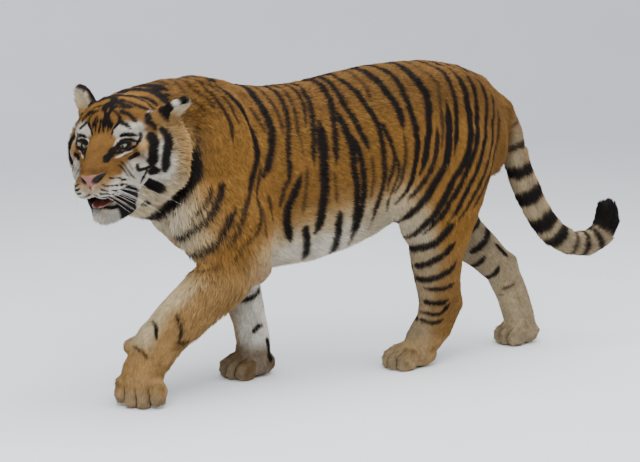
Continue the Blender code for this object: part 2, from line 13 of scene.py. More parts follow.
import bmesh
import bpy
import numpy as np
from mathutils import Matrix, Vector
from mathutils.bvhtree import BVHTree

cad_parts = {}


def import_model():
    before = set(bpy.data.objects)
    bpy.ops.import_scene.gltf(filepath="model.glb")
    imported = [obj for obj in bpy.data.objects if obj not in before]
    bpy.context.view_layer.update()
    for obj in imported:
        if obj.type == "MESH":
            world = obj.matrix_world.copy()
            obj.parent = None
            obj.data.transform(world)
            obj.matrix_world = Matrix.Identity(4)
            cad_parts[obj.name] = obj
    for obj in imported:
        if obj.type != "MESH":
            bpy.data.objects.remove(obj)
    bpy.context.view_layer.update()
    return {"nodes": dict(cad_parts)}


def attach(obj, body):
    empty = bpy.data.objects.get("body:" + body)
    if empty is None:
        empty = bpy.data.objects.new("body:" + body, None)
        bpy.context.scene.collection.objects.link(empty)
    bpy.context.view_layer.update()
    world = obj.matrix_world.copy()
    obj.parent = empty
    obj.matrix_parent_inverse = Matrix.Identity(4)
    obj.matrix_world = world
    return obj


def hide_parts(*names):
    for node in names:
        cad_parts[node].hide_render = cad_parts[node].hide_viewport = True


LOG = logging.getLogger("tiger")
BODY = "root"                                # the model's one body
SEED = 7
MARKING = "Marking"                          # the colours stored at the vertices


# ---------------- small helpers
def linear(code: str) -> np.ndarray:
    """Converts an sRGB hex colour.

    Args:
        code: such as "#b07a43".

    Returns:
        Three linear values.
    """
    value = np.array([int(code[i:i + 2], 16) / 255 for i in (1, 3, 5)])
    return np.where(value <= 0.04045, value / 12.92, ((value + 0.055) / 1.055) ** 2.4)


def ramp(edge0: float, edge1: float, value: np.ndarray) -> np.ndarray:
    """Ramps smoothly from 0 at edge0 to 1 at edge1; edge0 may be the larger."""
    t = np.clip((value - edge0) / (edge1 - edge0), 0.0, 1.0)
    return t * t * (3 - 2 * t)


def unit(vectors: np.ndarray) -> np.ndarray:
    """Scales each row to length 1."""
    return vectors / np.maximum(np.linalg.norm(vectors, axis=1, keepdims=True), 1e-12)


def grain(points: np.ndarray, size: float, seed: int = 0) -> np.ndarray:
    """Value noise from -1 to 1 whose blobs are about one size across.

    Args:
        points: rows of x, y, z.
        size: blob size in metres.
        seed: picks another pattern.

    Returns:
        One value per row.
    """
    scaled = points / size + seed * 17.31
    cell = np.floor(scaled).astype(np.int64)
    part = scaled - cell
    part = part * part * (3 - 2 * part)
    total = np.zeros(len(points))
    for corner in range(8):
        step = np.array([corner & 1, corner >> 1 & 1, corner >> 2 & 1])
        key = (cell + step) @ np.array([374761393, 668265263, 1442695041])
        key = (key ^ (key >> 13)) * 1274126177 & 0x7FFFFFFF
        weight = np.prod(np.where(step == 1, part, 1 - part), axis=1)
        total += weight * (key % 65536) / 32768.0
    return total - 1.0


def spline(points: np.ndarray, count: int) -> np.ndarray:
    """Draws a Catmull-Rom curve through points.

    Args:
        points: one row per point.
        count: how many places to read, evenly by point number.

    Returns:
        One row per place read.
    """
    padded = np.vstack([2 * points[0] - points[1], points, 2 * points[-1] - points[-2]])
    t = np.linspace(0, len(points) - 1 - 1e-6, count)
    k = t.astype(int)
    u = (t - k)[:, None]
    a, b, c, d = (padded[k + i] for i in range(4))
    return 0.5 * (2 * b + (c - a) * u + (2 * a - 5 * b + 4 * c - d) * u ** 2
                  + (3 * b - a - 3 * c + d) * u ** 3)


def mesh_object(name: str, points: np.ndarray, faces: np.ndarray) -> bpy.types.Object:
    """Makes an object of triangles or quads, shaded smooth.

    Args:
        name: the object's name.
        points: one row per vertex.
        faces: one row of vertex numbers per face.

    Returns:
        The linked object.
    """
    mesh = bpy.data.meshes.new(name)
    count, corners = faces.shape
    mesh.vertices.add(len(points))
    mesh.vertices.foreach_set("co", np.ascontiguousarray(points, dtype=np.float32).ravel())
    mesh.loops.add(count * corners)
    mesh.loops.foreach_set("vertex_index", np.ascontiguousarray(faces, dtype=np.int32).ravel())
    mesh.polygons.add(count)
    mesh.polygons.foreach_set("loop_start", np.arange(0, count * corners, corners, dtype=np.int32))
    mesh.update(calc_edges=True)
    mesh.shade_smooth()
    made = bpy.data.objects.new(name, mesh)
    bpy.context.scene.collection.objects.link(made)
    return made


def ring_faces(rings: int, around: int, first: int = 0) -> np.ndarray:
    """Joins rings of points that follow one another, as the skin of a tube.

    Args:
        rings: how many rings.
        around: how many points each has.
        first: number of the first ring's first point.

    Returns:
        One row of four vertex numbers per quad.
    """
    ring = first + np.arange(rings - 1)[:, None] * around
    here = np.arange(around)[None]
    after = (here + 1) % around
    return np.stack([ring + here, ring + after, ring + around + after, ring + around + here],
                    axis=-1).reshape(-1, 4)


def paint(made: bpy.types.Object, colours: np.ndarray, material: bpy.types.Material) -> None:
    """Stores the colours that the finishes read, and gives the object its material.

    Args:
        made: the object.
        colours: one linear colour per vertex.
        material: its finish.
    """
    layer = made.data.color_attributes.new(MARKING, "FLOAT_COLOR", "POINT")
    full = np.ones((len(colours), 4), dtype=np.float32)
    full[:, :3] = colours
    layer.data.foreach_set("color", full.ravel())
    made.data.materials.append(material)


def read_rows(elements: bpy.types.bpy_prop_collection, value: str, kind: type,
              width: int = 3) -> np.ndarray:
    """Reads one value of a mesh's elements.

    Args:
        elements: such as its vertices or edges.
        value: the value's name.
        kind: the type of its numbers.
        width: how many numbers it has.

    Returns:
        One row per element.
    """
    flat = np.empty(len(elements) * width, dtype=kind)
    elements.foreach_get(value, flat)
    return flat.reshape(-1, width)


def coordinates(mesh: bpy.types.Mesh) -> np.ndarray:
    """The mesh's vertices."""
    return read_rows(mesh.vertices, "co", np.float32).astype(float)


def vertex_normals(mesh: bpy.types.Mesh) -> np.ndarray:
    """Its normals at the vertices."""
    return read_rows(mesh.vertex_normals, "vector", np.float32).astype(float)


def triangles(mesh: bpy.types.Mesh) -> np.ndarray:
    """Its triangles, as vertex numbers."""
    mesh.calc_loop_triangles()
    return read_rows(mesh.loop_triangles, "vertices", np.int32)


def search_tree(points: np.ndarray, faces: list) -> BVHTree:
    """Makes a tree that finds the nearest or the struck face of a mesh."""
    return BVHTree.FromPolygons([Vector(p) for p in points], [tuple(f) for f in faces])


def apply_modifiers(made: bpy.types.Object) -> None:
    """Replaces a mesh with what its modifiers make of it.

    Args:
        made: the mesh's object.
    """
    graph = bpy.context.evaluated_depsgraph_get()
    mesh = bpy.data.meshes.new_from_object(made.evaluated_get(graph))
    made.modifiers.clear()
    made.data = mesh


# ---------------- frames
@dataclass(frozen=True)
class HeadFrame:
    """Where the head stands: +x to the nose, +y to the tiger's left, +z to the crown."""

    centre: tuple[float, float, float] = (-0.9697, -0.1426, 0.828)    # between the eyes
    yaw: float = math.radians(41)
    pitch: float = math.radians(12)
    roll: float = math.radians(3)

    def matrix(self) -> Matrix:
        """Works out how the head stands.

        Returns:
            The transform from the head's frame to the model's.
        """
        forward = Vector((-math.cos(self.yaw) * math.cos(self.pitch),
                          -math.sin(self.yaw) * math.cos(self.pitch), -math.sin(self.pitch)))
        left = Vector((math.sin(self.yaw), -math.cos(self.yaw), 0.0))
        turn = Matrix((forward, left, forward.cross(left))).transposed().to_4x4()
        return Matrix.Translation(self.centre) @ turn @ Matrix.Rotation(self.roll, 4, "X")

    def to_head(self, points: np.ndarray) -> np.ndarray:
        """Model points in the head's frame."""
        matrix = np.array(self.matrix())
        return (points - matrix[:3, 3]) @ matrix[:3, :3]

    def to_model(self, points: np.ndarray) -> np.ndarray:
        """Head points in the model's frame."""
        matrix = np.array(self.matrix())
        return points @ matrix[:3, :3].T + matrix[:3, 3]

    def turn_out(self, vectors: np.ndarray) -> np.ndarray:
        """Directions of the head's frame, in the model's."""
        return vectors @ np.array(self.matrix())[:3, :3].T

    def turn_in(self, vectors: np.ndarray) -> np.ndarray:
        """Directions of the model's frame, in the head's."""
        return vectors @ np.array(self.matrix())[:3, :3]


HEAD = HeadFrame()


@dataclass(frozen=True)
class EarFrame:
    """Where an ear stands on the head: its own +z to the tip, +x out of the opening."""

    side: int                 # 1 on the tiger's left, -1 on its right
    foot: tuple[float, float, float]
    swing: float              # of its opening, outwards from straight ahead, in degrees
    lean: float               # of its tip, outwards from upright, in degrees

    def to_ear(self, head: np.ndarray) -> np.ndarray:
        """Head points in the ear's frame."""
        return (head - self.foot) @ np.array(self._turn())

    def facing(self, head_normals: np.ndarray) -> np.ndarray:
        """How far normals of the head's frame look out of the opening."""
        return head_normals @ np.array(self._turn())[:, 0]

    def _turn(self) -> Matrix:
        """The rotation from the ear's frame to the head's."""
        return (Matrix.Rotation(math.radians(-self.side * self.lean), 3, "X")
                @ Matrix.Rotation(math.radians(self.side * self.swing), 3, "Z"))


@dataclass(frozen=True)
class PawFrame:
    """Where a paw stands: its own +x to the toes, +z to its back."""

    place: tuple[float, float, float]
    yaw: float                # towards the tiger's left, in degrees
    pitch: float              # toes down, in degrees
    width: float
    length: float

    def to_paw(self, points: np.ndarray) -> np.ndarray:
        """Model points in the paw's frame."""
        return (points - self.place) @ np.array(self._turn())

    def beside(self, local: np.ndarray, gap: int) -> np.ndarray:
        """How far places in the paw's frame lie from the groove between two toes."""
        fan = 1 + 0.4 * np.clip(local[:, 0] / self.length - 0.3, 0, 1)
        return np.abs(local[:, 1] - gap * TOE_PITCH * self.width * fan)

    def facing_down(self, normals: np.ndarray) -> np.ndarray:
        """How far normals look out of the sole."""
        return -(normals @ np.array(self._turn())[:, 2])

    def pads(self, points: np.ndarray, normals: np.ndarray) -> np.ndarray:
        """Finds the bare pads.

        Args:
            points: places on the skin.
            normals: the skin's normals there.

        Returns:
            1 on the pads, 0 elsewhere.
        """
        local = self.to_paw(points)
        flat = local[:, :2] / (self.length, self.width)
        inside = ramp(1.1, 0.9, np.linalg.norm(flat / (0.20, 0.30), axis=1))
        for across, ahead in ((-1.5, 0.26), (-0.5, 0.36), (0.5, 0.36), (1.5, 0.26)):
            toe = np.linalg.norm((flat - (ahead, across * TOE_PITCH)) / (0.13, 0.085), axis=1)
            inside = np.maximum(inside, ramp(1.1, 0.9, toe))
        return inside * ramp(0.3, 0.6, self.facing_down(normals)) \
            * ramp(0.03, 0.02, np.abs(local[:, 2]))

    def _turn(self) -> Matrix:
        """The rotation from the paw's frame to the model's."""
        return (Matrix.Rotation(math.radians(180 + self.yaw), 3, "Z")
                @ Matrix.Rotation(math.radians(self.pitch), 3, "Y"))


EARS = (EarFrame(1, (-0.142, 0.138, 0.036), 72, 52), EarFrame(-1, (-0.142, -0.120, 0.050), 28, 8))
PAWS = (PawFrame((-0.8157, -0.0786, 0.076), 42, 58, 0.165, 0.200),
        PawFrame((-0.3767, 0.0934, -0.005), 6, 0, 0.144, 0.190),
        PawFrame((0.1693, -0.0466, -0.005), 2, 0, 0.130, 0.195),
        PawFrame((0.7033, 0.0954, -0.005), 0, 0, 0.126, 0.165))
LEATHER_RISE = 0.0008         # the nose leather's height over the skin
TOE_PITCH = 0.245             # between neighbouring toes, as a share of the paw's width
CLEFTS = (-1, 0, 1)           # between the toes, counted from the middle one
MIDDLE_Y = 0.033              # the plane that halves the trunk
BETWEEN_LEGS_Y = 0.028        # and the one that runs clear between the legs
EYE_CENTRES = {"left": np.array([-0.004, 0.062, 0.0]), "right": np.array([-0.004, -0.062, 0.0])}
EYE_RADIUS = 0.0185
# centre line of the tail from rump to tip, as x and z, at y = TAIL_Y
TAIL_LINE = np.array([(0.50, 0.90), (0.558, 0.852), (0.601, 0.780), (0.625, 0.700), (0.655, 0.620),
                      (0.693, 0.545), (0.740, 0.470), (0.798, 0.405), (0.873, 0.362),
                      (0.953, 0.350), (1.015, 0.375), (1.043, 0.425), (1.043, 0.500)])
TAIL_Y = 0.040


# ---------------- skin
class Zone(Enum):
    """What grows where: every flesh node of the model belongs to one zone."""

    HEAD = ("head", "lower_jaw")
    EAR = ("ear_left", "ear_right")
    NOSE = ("nose",)
    NECK = ("neck",)
    CHEST = ("chest",)
    BELLY = ("belly",)
    RUMP = ("hindquarters",)
    SHOULDER = ("foreleg_left_upper", "foreleg_right_upper")
    FOREARM_LEFT = ("foreleg_left_forearm",)
    FOREARM_RIGHT = ("foreleg_right_forearm",)
    FOREPAW_LEFT = ("foreleg_left_paw",)
    FOREPAW_RIGHT = ("foreleg_right_paw",)
    THIGH = ("hindleg_left_thigh", "hindleg_right_thigh")
    SHANK_LEFT = ("hindleg_left_shank",)
    SHANK_RIGHT = ("hindleg_right_shank",)
    FOOT_LEFT = ("hindleg_left_foot",)
    FOOT_RIGHT = ("hindleg_right_foot",)
    TAIL = ("tail_base", "tail_middle", "tail_tip")


@dataclass(frozen=True)
class Growth:
    """How the coat grows in a zone."""

    depth: float                       # from the skin to the coat's surface
    length: float                      # of a lock
    width: float                       # of a lock
    lie: tuple[float, float, float]    # direction from root to tip, before it is laid on the skin


GROWTH = {
    Zone.HEAD: Growth(0.005, 0.014, 0.0021, (1.0, 0.0, 0.0)),
    Zone.EAR: Growth(0.0015, 0.0085, 0.0017, (0.0, 0.0, 1.0)),
    Zone.NOSE: Growth(0.0010, 0.006, 0.0016, (1.0, 0.0, 0.0)),
    Zone.NECK: Growth(0.008, 0.021, 0.0027, (1.0, 0.05, -0.45)),
    Zone.CHEST: Growth(0.007, 0.018, 0.0026, (1.0, 0.0, -0.35)),
    Zone.BELLY: Growth(0.008, 0.020, 0.0027, (1.0, 0.0, -0.30)),
    Zone.RUMP: Growth(0.007, 0.018, 0.0026, (1.0, 0.0, -0.30)),
    Zone.SHOULDER: Growth(0.007, 0.018, 0.0026, (0.45, 0.0, -1.0)),
    Zone.FOREARM_LEFT: Growth(0.005, 0.016, 0.0026, (-0.55, 0.0, -0.8)),
    Zone.FOREARM_RIGHT: Growth(0.005, 0.016, 0.0026, (0.1, 0.0, -1.0)),
    Zone.FOREPAW_LEFT: Growth(0.004, 0.013, 0.0022, (-0.25, -0.2, -1.0)),
    Zone.FOREPAW_RIGHT: Growth(0.003, 0.010, 0.0020, (-0.8, 0.0, -0.7)),
    Zone.THIGH: Growth(0.007, 0.018, 0.0026, (0.25, 0.0, -1.0)),
    Zone.SHANK_LEFT: Growth(0.005, 0.016, 0.0026, (0.15, 0.0, -1.0)),
    Zone.SHANK_RIGHT: Growth(0.005, 0.016, 0.0026, (0.7, 0.0, -0.8)),
    Zone.FOOT_LEFT: Growth(0.004, 0.013, 0.0022, (-0.45, 0.0, -1.0)),
    Zone.FOOT_RIGHT: Growth(0.004, 0.013, 0.0022, (0.1, 0.0, -1.0)),
    Zone.TAIL: Growth(0.009, 0.024, 0.0028, (0.5, 0.0, -0.6)),
}
ZONES = list(Zone)


# folds of the loose skin: two ends as x and z in cm, half width and depth in mm
FOLDS = (
    ((-36, 66), (-37, 45), 13, 6.0),      # behind the elbow
    ((-41, 60), (-43, 47), 9, 4.0),
    ((-58, 66), (-62, 50), 11, 4.0),      # before the shoulder
    ((8, 66), (3, 57), 12, 5.0),          # before the thigh
    ((14, 60), (9, 52), 9, 4.0),
)


@dataclass
class Skin:
    """One seamless skin drawn over all flesh nodes, a coat's depth inside them."""

    nodes: dict
    voxel: float = 0.0055
    overlap: float = 0.0006       # closes the thin cuts between the nodes before they are fused
    socket: float = 1.04          # the eye sockets' size, in eyeballs
    rounds: int = 5               # smoothing after fusing
    spread: int = 90              # how far growth of one zone blends into the next
    clear: float = 0.0012         # least height of the skin over the floor
    tail_brush: float = 0.6       # share of the coat's depth by which the tail's hair stands proud
    cleft_depth: float = 0.0055   # of the grooves between the toes
    cleft_width: float = 0.006
    slit: float = 56.0            # eye opening seen from the eye's centre, in degrees either way
    slit_turn: float = 6.0        # its middle, in degrees outwards from straight ahead
    slit_slope: float = 0.22      # its rise towards the outer corner
    upper_lid: float = 13.0       # half heights of the opening, in degrees
    lower_lid: float = 21.0
    lid_reach: float = 0.042      # from the eye's centre, where the lids run out
    lid_rise: float = 0.0024      # of the lids over the eyeball
    sunk: float = 0.0045          # of the skin in the opening, below the eyeball
    nose_swell: float = 0.0025
    nostril_depth: float = 0.010
    lip_groove: float = 0.005     # depth of the groove from nose to lip
    pad_rise: float = 0.0012      # of the rows on the whisker pads
    pad_rows: float = 0.012       # between those rows

    def build(self) -> None:
        """Fuses the nodes, labels the zones, sinks the skin and sculpts the face."""
        self._fuse()
        self._label()
        self._blend_growth()
        self._sink()
        self._fold()
        self._part_toes()
        self._sculpt_eyes()
        self._sculpt_nose()
        self._sculpt_lips()

    def _fuse(self) -> None:
        """Joins all nodes, eyes included, into one closed surface."""
        points, faces, owner, first = [], [], [], 0
        for index, zone in enumerate(ZONES):
            for name in zone.value:
                mesh = self.nodes[name].data
                corners = triangles(mesh)
                points.append(coordinates(mesh) + vertex_normals(mesh) * self.overlap)
                faces.append(corners + first)
                owner += [index] * len(corners)
                first += len(points[-1])
        self.owner_tree = search_tree(np.vstack(points), np.vstack(faces).tolist())
        self.owner = np.array(owner)
        for name in ("eye_left", "eye_right"):
            mesh = self.nodes[name].data
            part = coordinates(mesh)
            middle = part.mean(axis=0)
            points.append(middle + (part - middle) * self.socket)
            faces.append(triangles(mesh) + first)
            first += len(part)
        self.object = mesh_object("skin", np.vstack(points), np.vstack(faces))
        fuse = self.object.modifiers.new("fuse", "REMESH")
        fuse.mode = "VOXEL"
        fuse.voxel_size = self.voxel
        apply_modifiers(self.object)
        self.object.data.shade_smooth()
        self._refine()
        self._edges()
        self.points = coordinates(self.object.data)
        body = 1 - ramp(-0.20, -0.05, HEAD.to_head(self.points)[:, 0])
        feet = ramp(0.16, 0.08, self.points[:, 2])
        ease = np.clip(0.35 + 0.65 * body - 0.75 * feet, 0.12, 1.0)
        for _ in range(self.rounds):
            self.points += self._drift(self.points) * (0.75 * ease[:, None])
            self.points += self._drift(self.points) * (-0.30 * ease[:, None])
        self._store()
        LOG.info("skin fused: %d vertices", len(self.points))

    def _refine(self) -> None:
        """Splits the faces of head and feet, and those of eyes and nose again, to hold detail."""
        for level in (0, 1, 2):
            shape = bmesh.new()
            shape.from_mesh(self.object.data)
            middles = np.array([face.calc_center_median()[:] for face in shape.faces])
            shape.faces.ensure_lookup_table()
            chosen = list(dict.fromkeys(
                edge for index in np.nonzero(self._worth_splitting(middles, level))[0]
                for edge in shape.faces[index].edges))
            bmesh.ops.subdivide_edges(shape, edges=chosen, cuts=1, use_grid_fill=True)
            bmesh.ops.triangulate(shape, faces=[f for f in shape.faces if len(f.verts) > 4])
            shape.to_mesh(self.object.data)
            shape.free()

    @staticmethod
    def _worth_splitting(middles: np.ndarray, level: int) -> np.ndarray:
        """Picks the faces that one level of splitting takes.

        Args:
            middles: the faces' middles.
            level: 0 for the head and feet, 1 for the eyes and nose, 2 for the eyes alone.

        Returns:
            True for each face to split.
        """
        head = HEAD.to_head(middles)
        x, y, z = head.T
        if level == 0:
            keep = (x > -0.12) & (np.abs(y) < 0.16) & (z < 0.12) & (z > -0.25)
            for ear in EARS:
                local = ear.to_ear(head)
                keep |= (np.abs(local) < (0.06, 0.07, 0.13)).all(axis=1) & (local[:, 2] > -0.03)
            return keep | (middles[:, 2] < 0.09)
        keep = np.zeros(len(head), dtype=bool)
        reach = 0.036 if level == 1 else 0.029
        for centre in EYE_CENTRES.values():
            keep |= (np.linalg.norm(head - centre, axis=1) < reach) & (x > -0.01)
        if level == 1:
            keep |= np.linalg.norm(head - [0.125, 0, -0.072], axis=1) < 0.060
        return keep

    def _edges(self) -> None:
        """Keeps the edge list and how many edges meet at each vertex."""
        mesh = self.object.data
        start, end = read_rows(mesh.edges, "vertices", np.int32, 2).T
        self.ends = np.concatenate([start, end])
        self.others = np.concatenate([end, start])
        self.degree = np.maximum(np.bincount(self.ends, minlength=len(mesh.vertices)), 1)

    def _average(self, values: np.ndarray) -> np.ndarray:
        """Averages over each vertex's neighbours.

        Args:
            values: one row per vertex.

        Returns:
            The neighbours' mean, one row per vertex.
        """
        columns = [np.bincount(self.ends, values[self.others, k], len(self.degree))
                   for k in range(values.shape[1])]
        return np.stack(columns, axis=1) / self.degree[:, None]

    def _drift(self, values: np.ndarray) -> np.ndarray:
        """How far the neighbours' mean lies from each vertex."""
        return self._average(values) - values

    def _store(self) -> None:
        """Writes the points back and reads the new normals."""
        mesh = self.object.data
        mesh.vertices.foreach_set("co", self.points.astype(np.float32).ravel())
        mesh.update()
        self.normals = vertex_normals(mesh)
        self.head = HEAD.to_head(self.points)

    def _label(self) -> None:
        """Gives each vertex the zone of the nearest flesh node."""
        find = self.owner_tree.find_nearest
        near = np.fromiter((find(p)[2] for p in self.points), int, len(self.points))
        self.zone = self.owner[near]

    def _blend_growth(self) -> None:
        """Spreads depth, length, width and lie of the coat smoothly over the skin."""
        table = np.array([(g.depth, g.length, g.width, *g.lie)
                          for g in (GROWTH[zone] for zone in ZONES)])
        values = table[self.zone]
        values[:, 3:] = self._lie_lines(values[:, 3:])
        sharp = values.copy()
        for _ in range(self.spread):
            values += 0.9 * self._drift(values)
        ear = (self.zone == ZONES.index(Zone.EAR)) | (self.zone == ZONES.index(Zone.NOSE))
        values[ear, :3] = sharp[ear, :3]
        self.depth, self.length, self.width = values[:, 0], values[:, 1], values[:, 2]
        self.lie = unit(values[:, 3:])
        self._shape_growth()

    def _lie_lines(self, lie: np.ndarray) -> np.ndarray:
        """Lets the hair radiate from the nose on the head and follow the tail's bend.

        Args:
            lie: the zones' directions, one row per vertex.

        Returns:
            The same rows, bent to head, ears and tail.
        """
        lie = unit(lie)
        head = self.zone == ZONES.index(Zone.HEAD)
        away = self.head - np.array([0.20, 0.0, -0.03])
        away[:, 2] *= 0.75
        away[:, 0] *= 1.2
        lie[head] = unit(HEAD.turn_out(away))[head]
        ear = self.zone == ZONES.index(Zone.EAR)
        lie[ear] = unit(HEAD.turn_out(self.head - np.array([-0.12, 0.0, -0.06])))[ear]
        tail = self.zone == ZONES.index(Zone.TAIL)
        middles = (TAIL_LINE[1:] + TAIL_LINE[:-1]) / 2
        steps = TAIL_LINE[1:] - TAIL_LINE[:-1]
        flat = self.points[:, (0, 2)]
        near = np.argmin(((flat[:, None, :] - middles[None]) ** 2).sum(2), axis=1)
        lie[tail] = unit(np.stack([steps[near, 0], 0 * steps[near, 0], steps[near, 1]], 1))[tail]
        return lie

    def _shape_growth(self) -> None:
        """Lengthens the coat on ruff, throat and belly and shortens it towards nose and eyes."""
        x, y, z = self.head.T
        in_head = ramp(-0.30, -0.16, x)
        face = ramp(-0.07, 0.03, x) * in_head
        ruff = ramp(-0.04, -0.11, x) * ramp(0.05, 0.13, np.abs(y)) * ramp(0.06, -0.02, z) \
            * in_head
        throat = ramp(-0.10, -0.17, z) * ramp(0.03, -0.06, x) * in_head
        chin = ramp(-0.17, -0.20, z) * ramp(0.0, 0.05, x)
        long = np.maximum(np.maximum(ruff, 0.8 * throat), 0.6 * chin)
        self.length *= 1 + 1.15 * long - 0.45 * face
        self.depth *= 1 + long - 0.50 * face
        self.width *= 1 + 0.30 * long - 0.25 * face
        facing = HEAD.turn_in(self.normals)
        for ear in EARS:
            x, y, z = ear.to_ear(self.head).T
            hollow = ramp(-0.1, 0.3, ear.facing(facing)) * ramp(-0.01, 0.01, z) \
                * ramp(0.13, 0.11, z) * ramp(0.075, 0.06, np.abs(y)) * ramp(0.06, 0.04, np.abs(x))
            self.length *= 1 + 0.6 * hollow
        x, _, z = self.points.T
        belly = ramp(-0.35, -0.85, self.normals[:, 2]) * ramp(0.34, 0.40, z) \
            * ramp(-0.60, -0.45, x)
        self.length *= 1 + 0.35 * belly
        self.width *= 1 + 0.25 * belly
        self.long = np.maximum(long, belly)
        near_floor = ramp(0.03, 0.008, z)
        self.depth *= 1 - 0.8 * near_floor
        self.length *= 1 - 0.5 * near_floor

    def _fold(self) -> None:
        """Presses the loose skin's folds in, on both flanks."""
        for (x0, z0), (x1, z1), wide, deep in FOLDS:
            start, step = np.array([x0, z0]) / 100, np.array([x1 - x0, z1 - z0]) / 100
            flat = self.points[:, (0, 2)] - start
            t = (flat @ step) / (step @ step)
            bow = 0.12 * np.linalg.norm(step) * np.sin(math.pi * np.clip(t, 0, 1))
            off = (flat @ np.array([step[1], -step[0]])) / np.linalg.norm(step) - bow
            ends = ramp(-0.1, 0.25, t) * ramp(1.1, 0.75, t)
            outer = ramp(0.2, 0.6, np.abs(self.normals[:, 1])) \
                * ramp(0.05, 0.08, np.abs(self.points[:, 1] - MIDDLE_Y))
            self.points -= self.normals * (deep / 1000 * np.exp(-(off / (wide / 1000)) ** 2)
                                           * ends * outer)[:, None]
        self._store()

    def _part_toes(self) -> None:
        """Presses the grooves between the toes in, from the front of each paw to its back."""
        for paw in PAWS:
            local = paw.to_paw(self.points)
            x, y, z = local.T
            toes = ramp(0.12, 0.30, x / paw.length) * ramp(-0.01, 0.01, z) \
                * ramp(0.15, 0.12, np.abs(x)) * ramp(0.12, 0.10, np.abs(y)) * ramp(0.10, 0.08, z)
            for gap in CLEFTS:
                near = np.exp(-(paw.beside(local, gap) / self.cleft_width) ** 2)
                press = self.cleft_depth * near * toes
                self.points -= self.normals * press[:, None]
        self._store()

    def _sink(self) -> None:
        """Moves the skin in by the coat's depth."""
        inward = self.normals.copy()
        for _ in range(4):
            inward += 0.6 * self._drift(inward)
        brush = (self.zone == ZONES.index(Zone.TAIL)) * ramp(0.58, 0.64, self.points[:, 0])
        self.points -= unit(inward) * (self.depth * (1 - self.tail_brush * brush))[:, None]
        for _ in range(2):
            self.points += 0.4 * self._drift(self.points)
        self.points[:, 2] = np.maximum(self.points[:, 2], self.clear)
        self._store()

    def _sculpt_eyes(self) -> None:
        """Opens an almond between two lids that lie on each eyeball."""
        self.eye_open = np.zeros(len(self.points))
        self.lid = np.zeros(len(self.points))
        for side, centre in EYE_CENTRES.items():
            sign = 1 if side == "left" else -1
            local = self.head - centre
            x, y, z = local.T
            reach = np.linalg.norm(local, axis=1)
            # the slit rises outward: inner corner low and towards the nose
            across = np.degrees(np.arctan2(y * sign, x)) - self.slit_turn
            upward = np.degrees(np.arcsin(np.clip(z / np.maximum(reach, 1e-6), -1, 1)))
            tilt = upward - self.slit_slope * across - 2
            bow = np.clip(1 - (np.abs(across) / self.slit) ** 2.2, 0, 1)
            beyond = np.maximum(np.abs(across) - self.slit, 0)
            half = np.where(tilt > 0, self.upper_lid, self.lower_lid) * bow
            outside = np.where(beyond > 0, np.hypot(beyond, tilt), np.abs(tilt) - half)
            front = (x > -0.006) & (reach < self.lid_reach)
            inside = front & (outside < 0)
            band = ramp(34, 4, outside) * ramp(self.lid_reach, 0.030, reach)
            aim = np.where(inside, EYE_RADIUS - self.sunk, EYE_RADIUS + self.lid_rise)
            length = reach + (aim - reach) * np.where(inside, 1.0, band)
            length = np.where(inside, length, np.maximum(length, EYE_RADIUS + 0.0022))
            move = (length / np.maximum(reach, 1e-6) - 1)[:, None] * local
            self.points += HEAD.turn_out(np.where(front[:, None], move, 0.0))
            self.eye_open = np.maximum(self.eye_open, inside.astype(float))
            close = ramp(EYE_RADIUS + 0.009, EYE_RADIUS + 0.005, length)
            self.lid = np.maximum(self.lid, (front & ~inside) * ramp(12, 7, outside) * close)
            near = (front & ~inside) * ramp(45, 12, outside) * ramp(self.lid_reach, 0.034, reach)
            self.length *= 1 - 0.55 * near
            self.depth *= 1 - 0.45 * near
            around = HEAD.turn_out(local * (0.0, 1.0, 1.0))
            self.lie = unit(self.lie + 2.2 * near[:, None] * unit(around))
        self._store()

    def _sculpt_nose(self) -> None:
        """Raises the nose leather, digs the nostrils and the groove below them."""
        x, y, z = self.head.T
        side = np.abs(y)
        wide = np.interp(z, (-0.094, -0.086, -0.074, -0.062, -0.052),
                         (0.003, 0.010, 0.023, 0.036, 0.039))
        self.leather = ramp(0.004, -0.002, side - wide) * ramp(-0.048, -0.054, z) \
            * ramp(-0.097, -0.092, z) * ramp(0.098, 0.108, x)
        out = side - 0.025
        hole = np.sqrt((out / 0.0165) ** 2 + ((z + 0.067 - 0.45 * out) / 0.0120) ** 2)
        self.nostril = ramp(1.2, 0.7, hole) * ramp(0.090, 0.105, x)
        self.groove = ramp(0.0045, 0.001, side) * ramp(-0.082, -0.090, z) \
            * ramp(-0.150, -0.135, z) * ramp(0.07, 0.10, x)
        move = self.nose_swell * self.leather - self.nostril_depth * self.nostril \
            - self.lip_groove * self.groove
        self.points += HEAD.turn_out(np.stack([move, 0 * move, 0 * move], 1))
        self._store()

    def _sculpt_lips(self) -> None:
        """Marks lips and the mouth's inside, and swells the whisker pads in rows."""
        x, y, z = self.head.T
        side = np.abs(y)
        roof = np.interp(x, (0.006, 0.180), (-0.150, -0.118))
        sill = np.interp(x, (0.006, 0.180), (-0.150, -0.184))
        inside = (z < roof + 0.004) & (z > sill - 0.004) & (x > -0.02)
        deep = ramp(0.105, 0.080, x + 2.2 * np.maximum(side - 0.045, 0))
        self.mouth = inside * deep
        self.lip = ramp(0.010, 0.004, np.minimum(np.abs(z - roof), np.abs(z - sill))) \
            * ramp(-0.01, 0.01, x) * ramp(0.125, 0.118, x)
        rows = self.pad_rise * np.cos((z + 0.1) * 2 * math.pi / self.pad_rows)
        pad = ramp(0.02, 0.035, side) * ramp(0.085, 0.070, side) * ramp(0.03, 0.06, x) \
            * ramp(-0.125, -0.118, z) * ramp(-0.078, -0.086, z)
        self.points += self.normals * (rows * pad)[:, None]
        self._store()


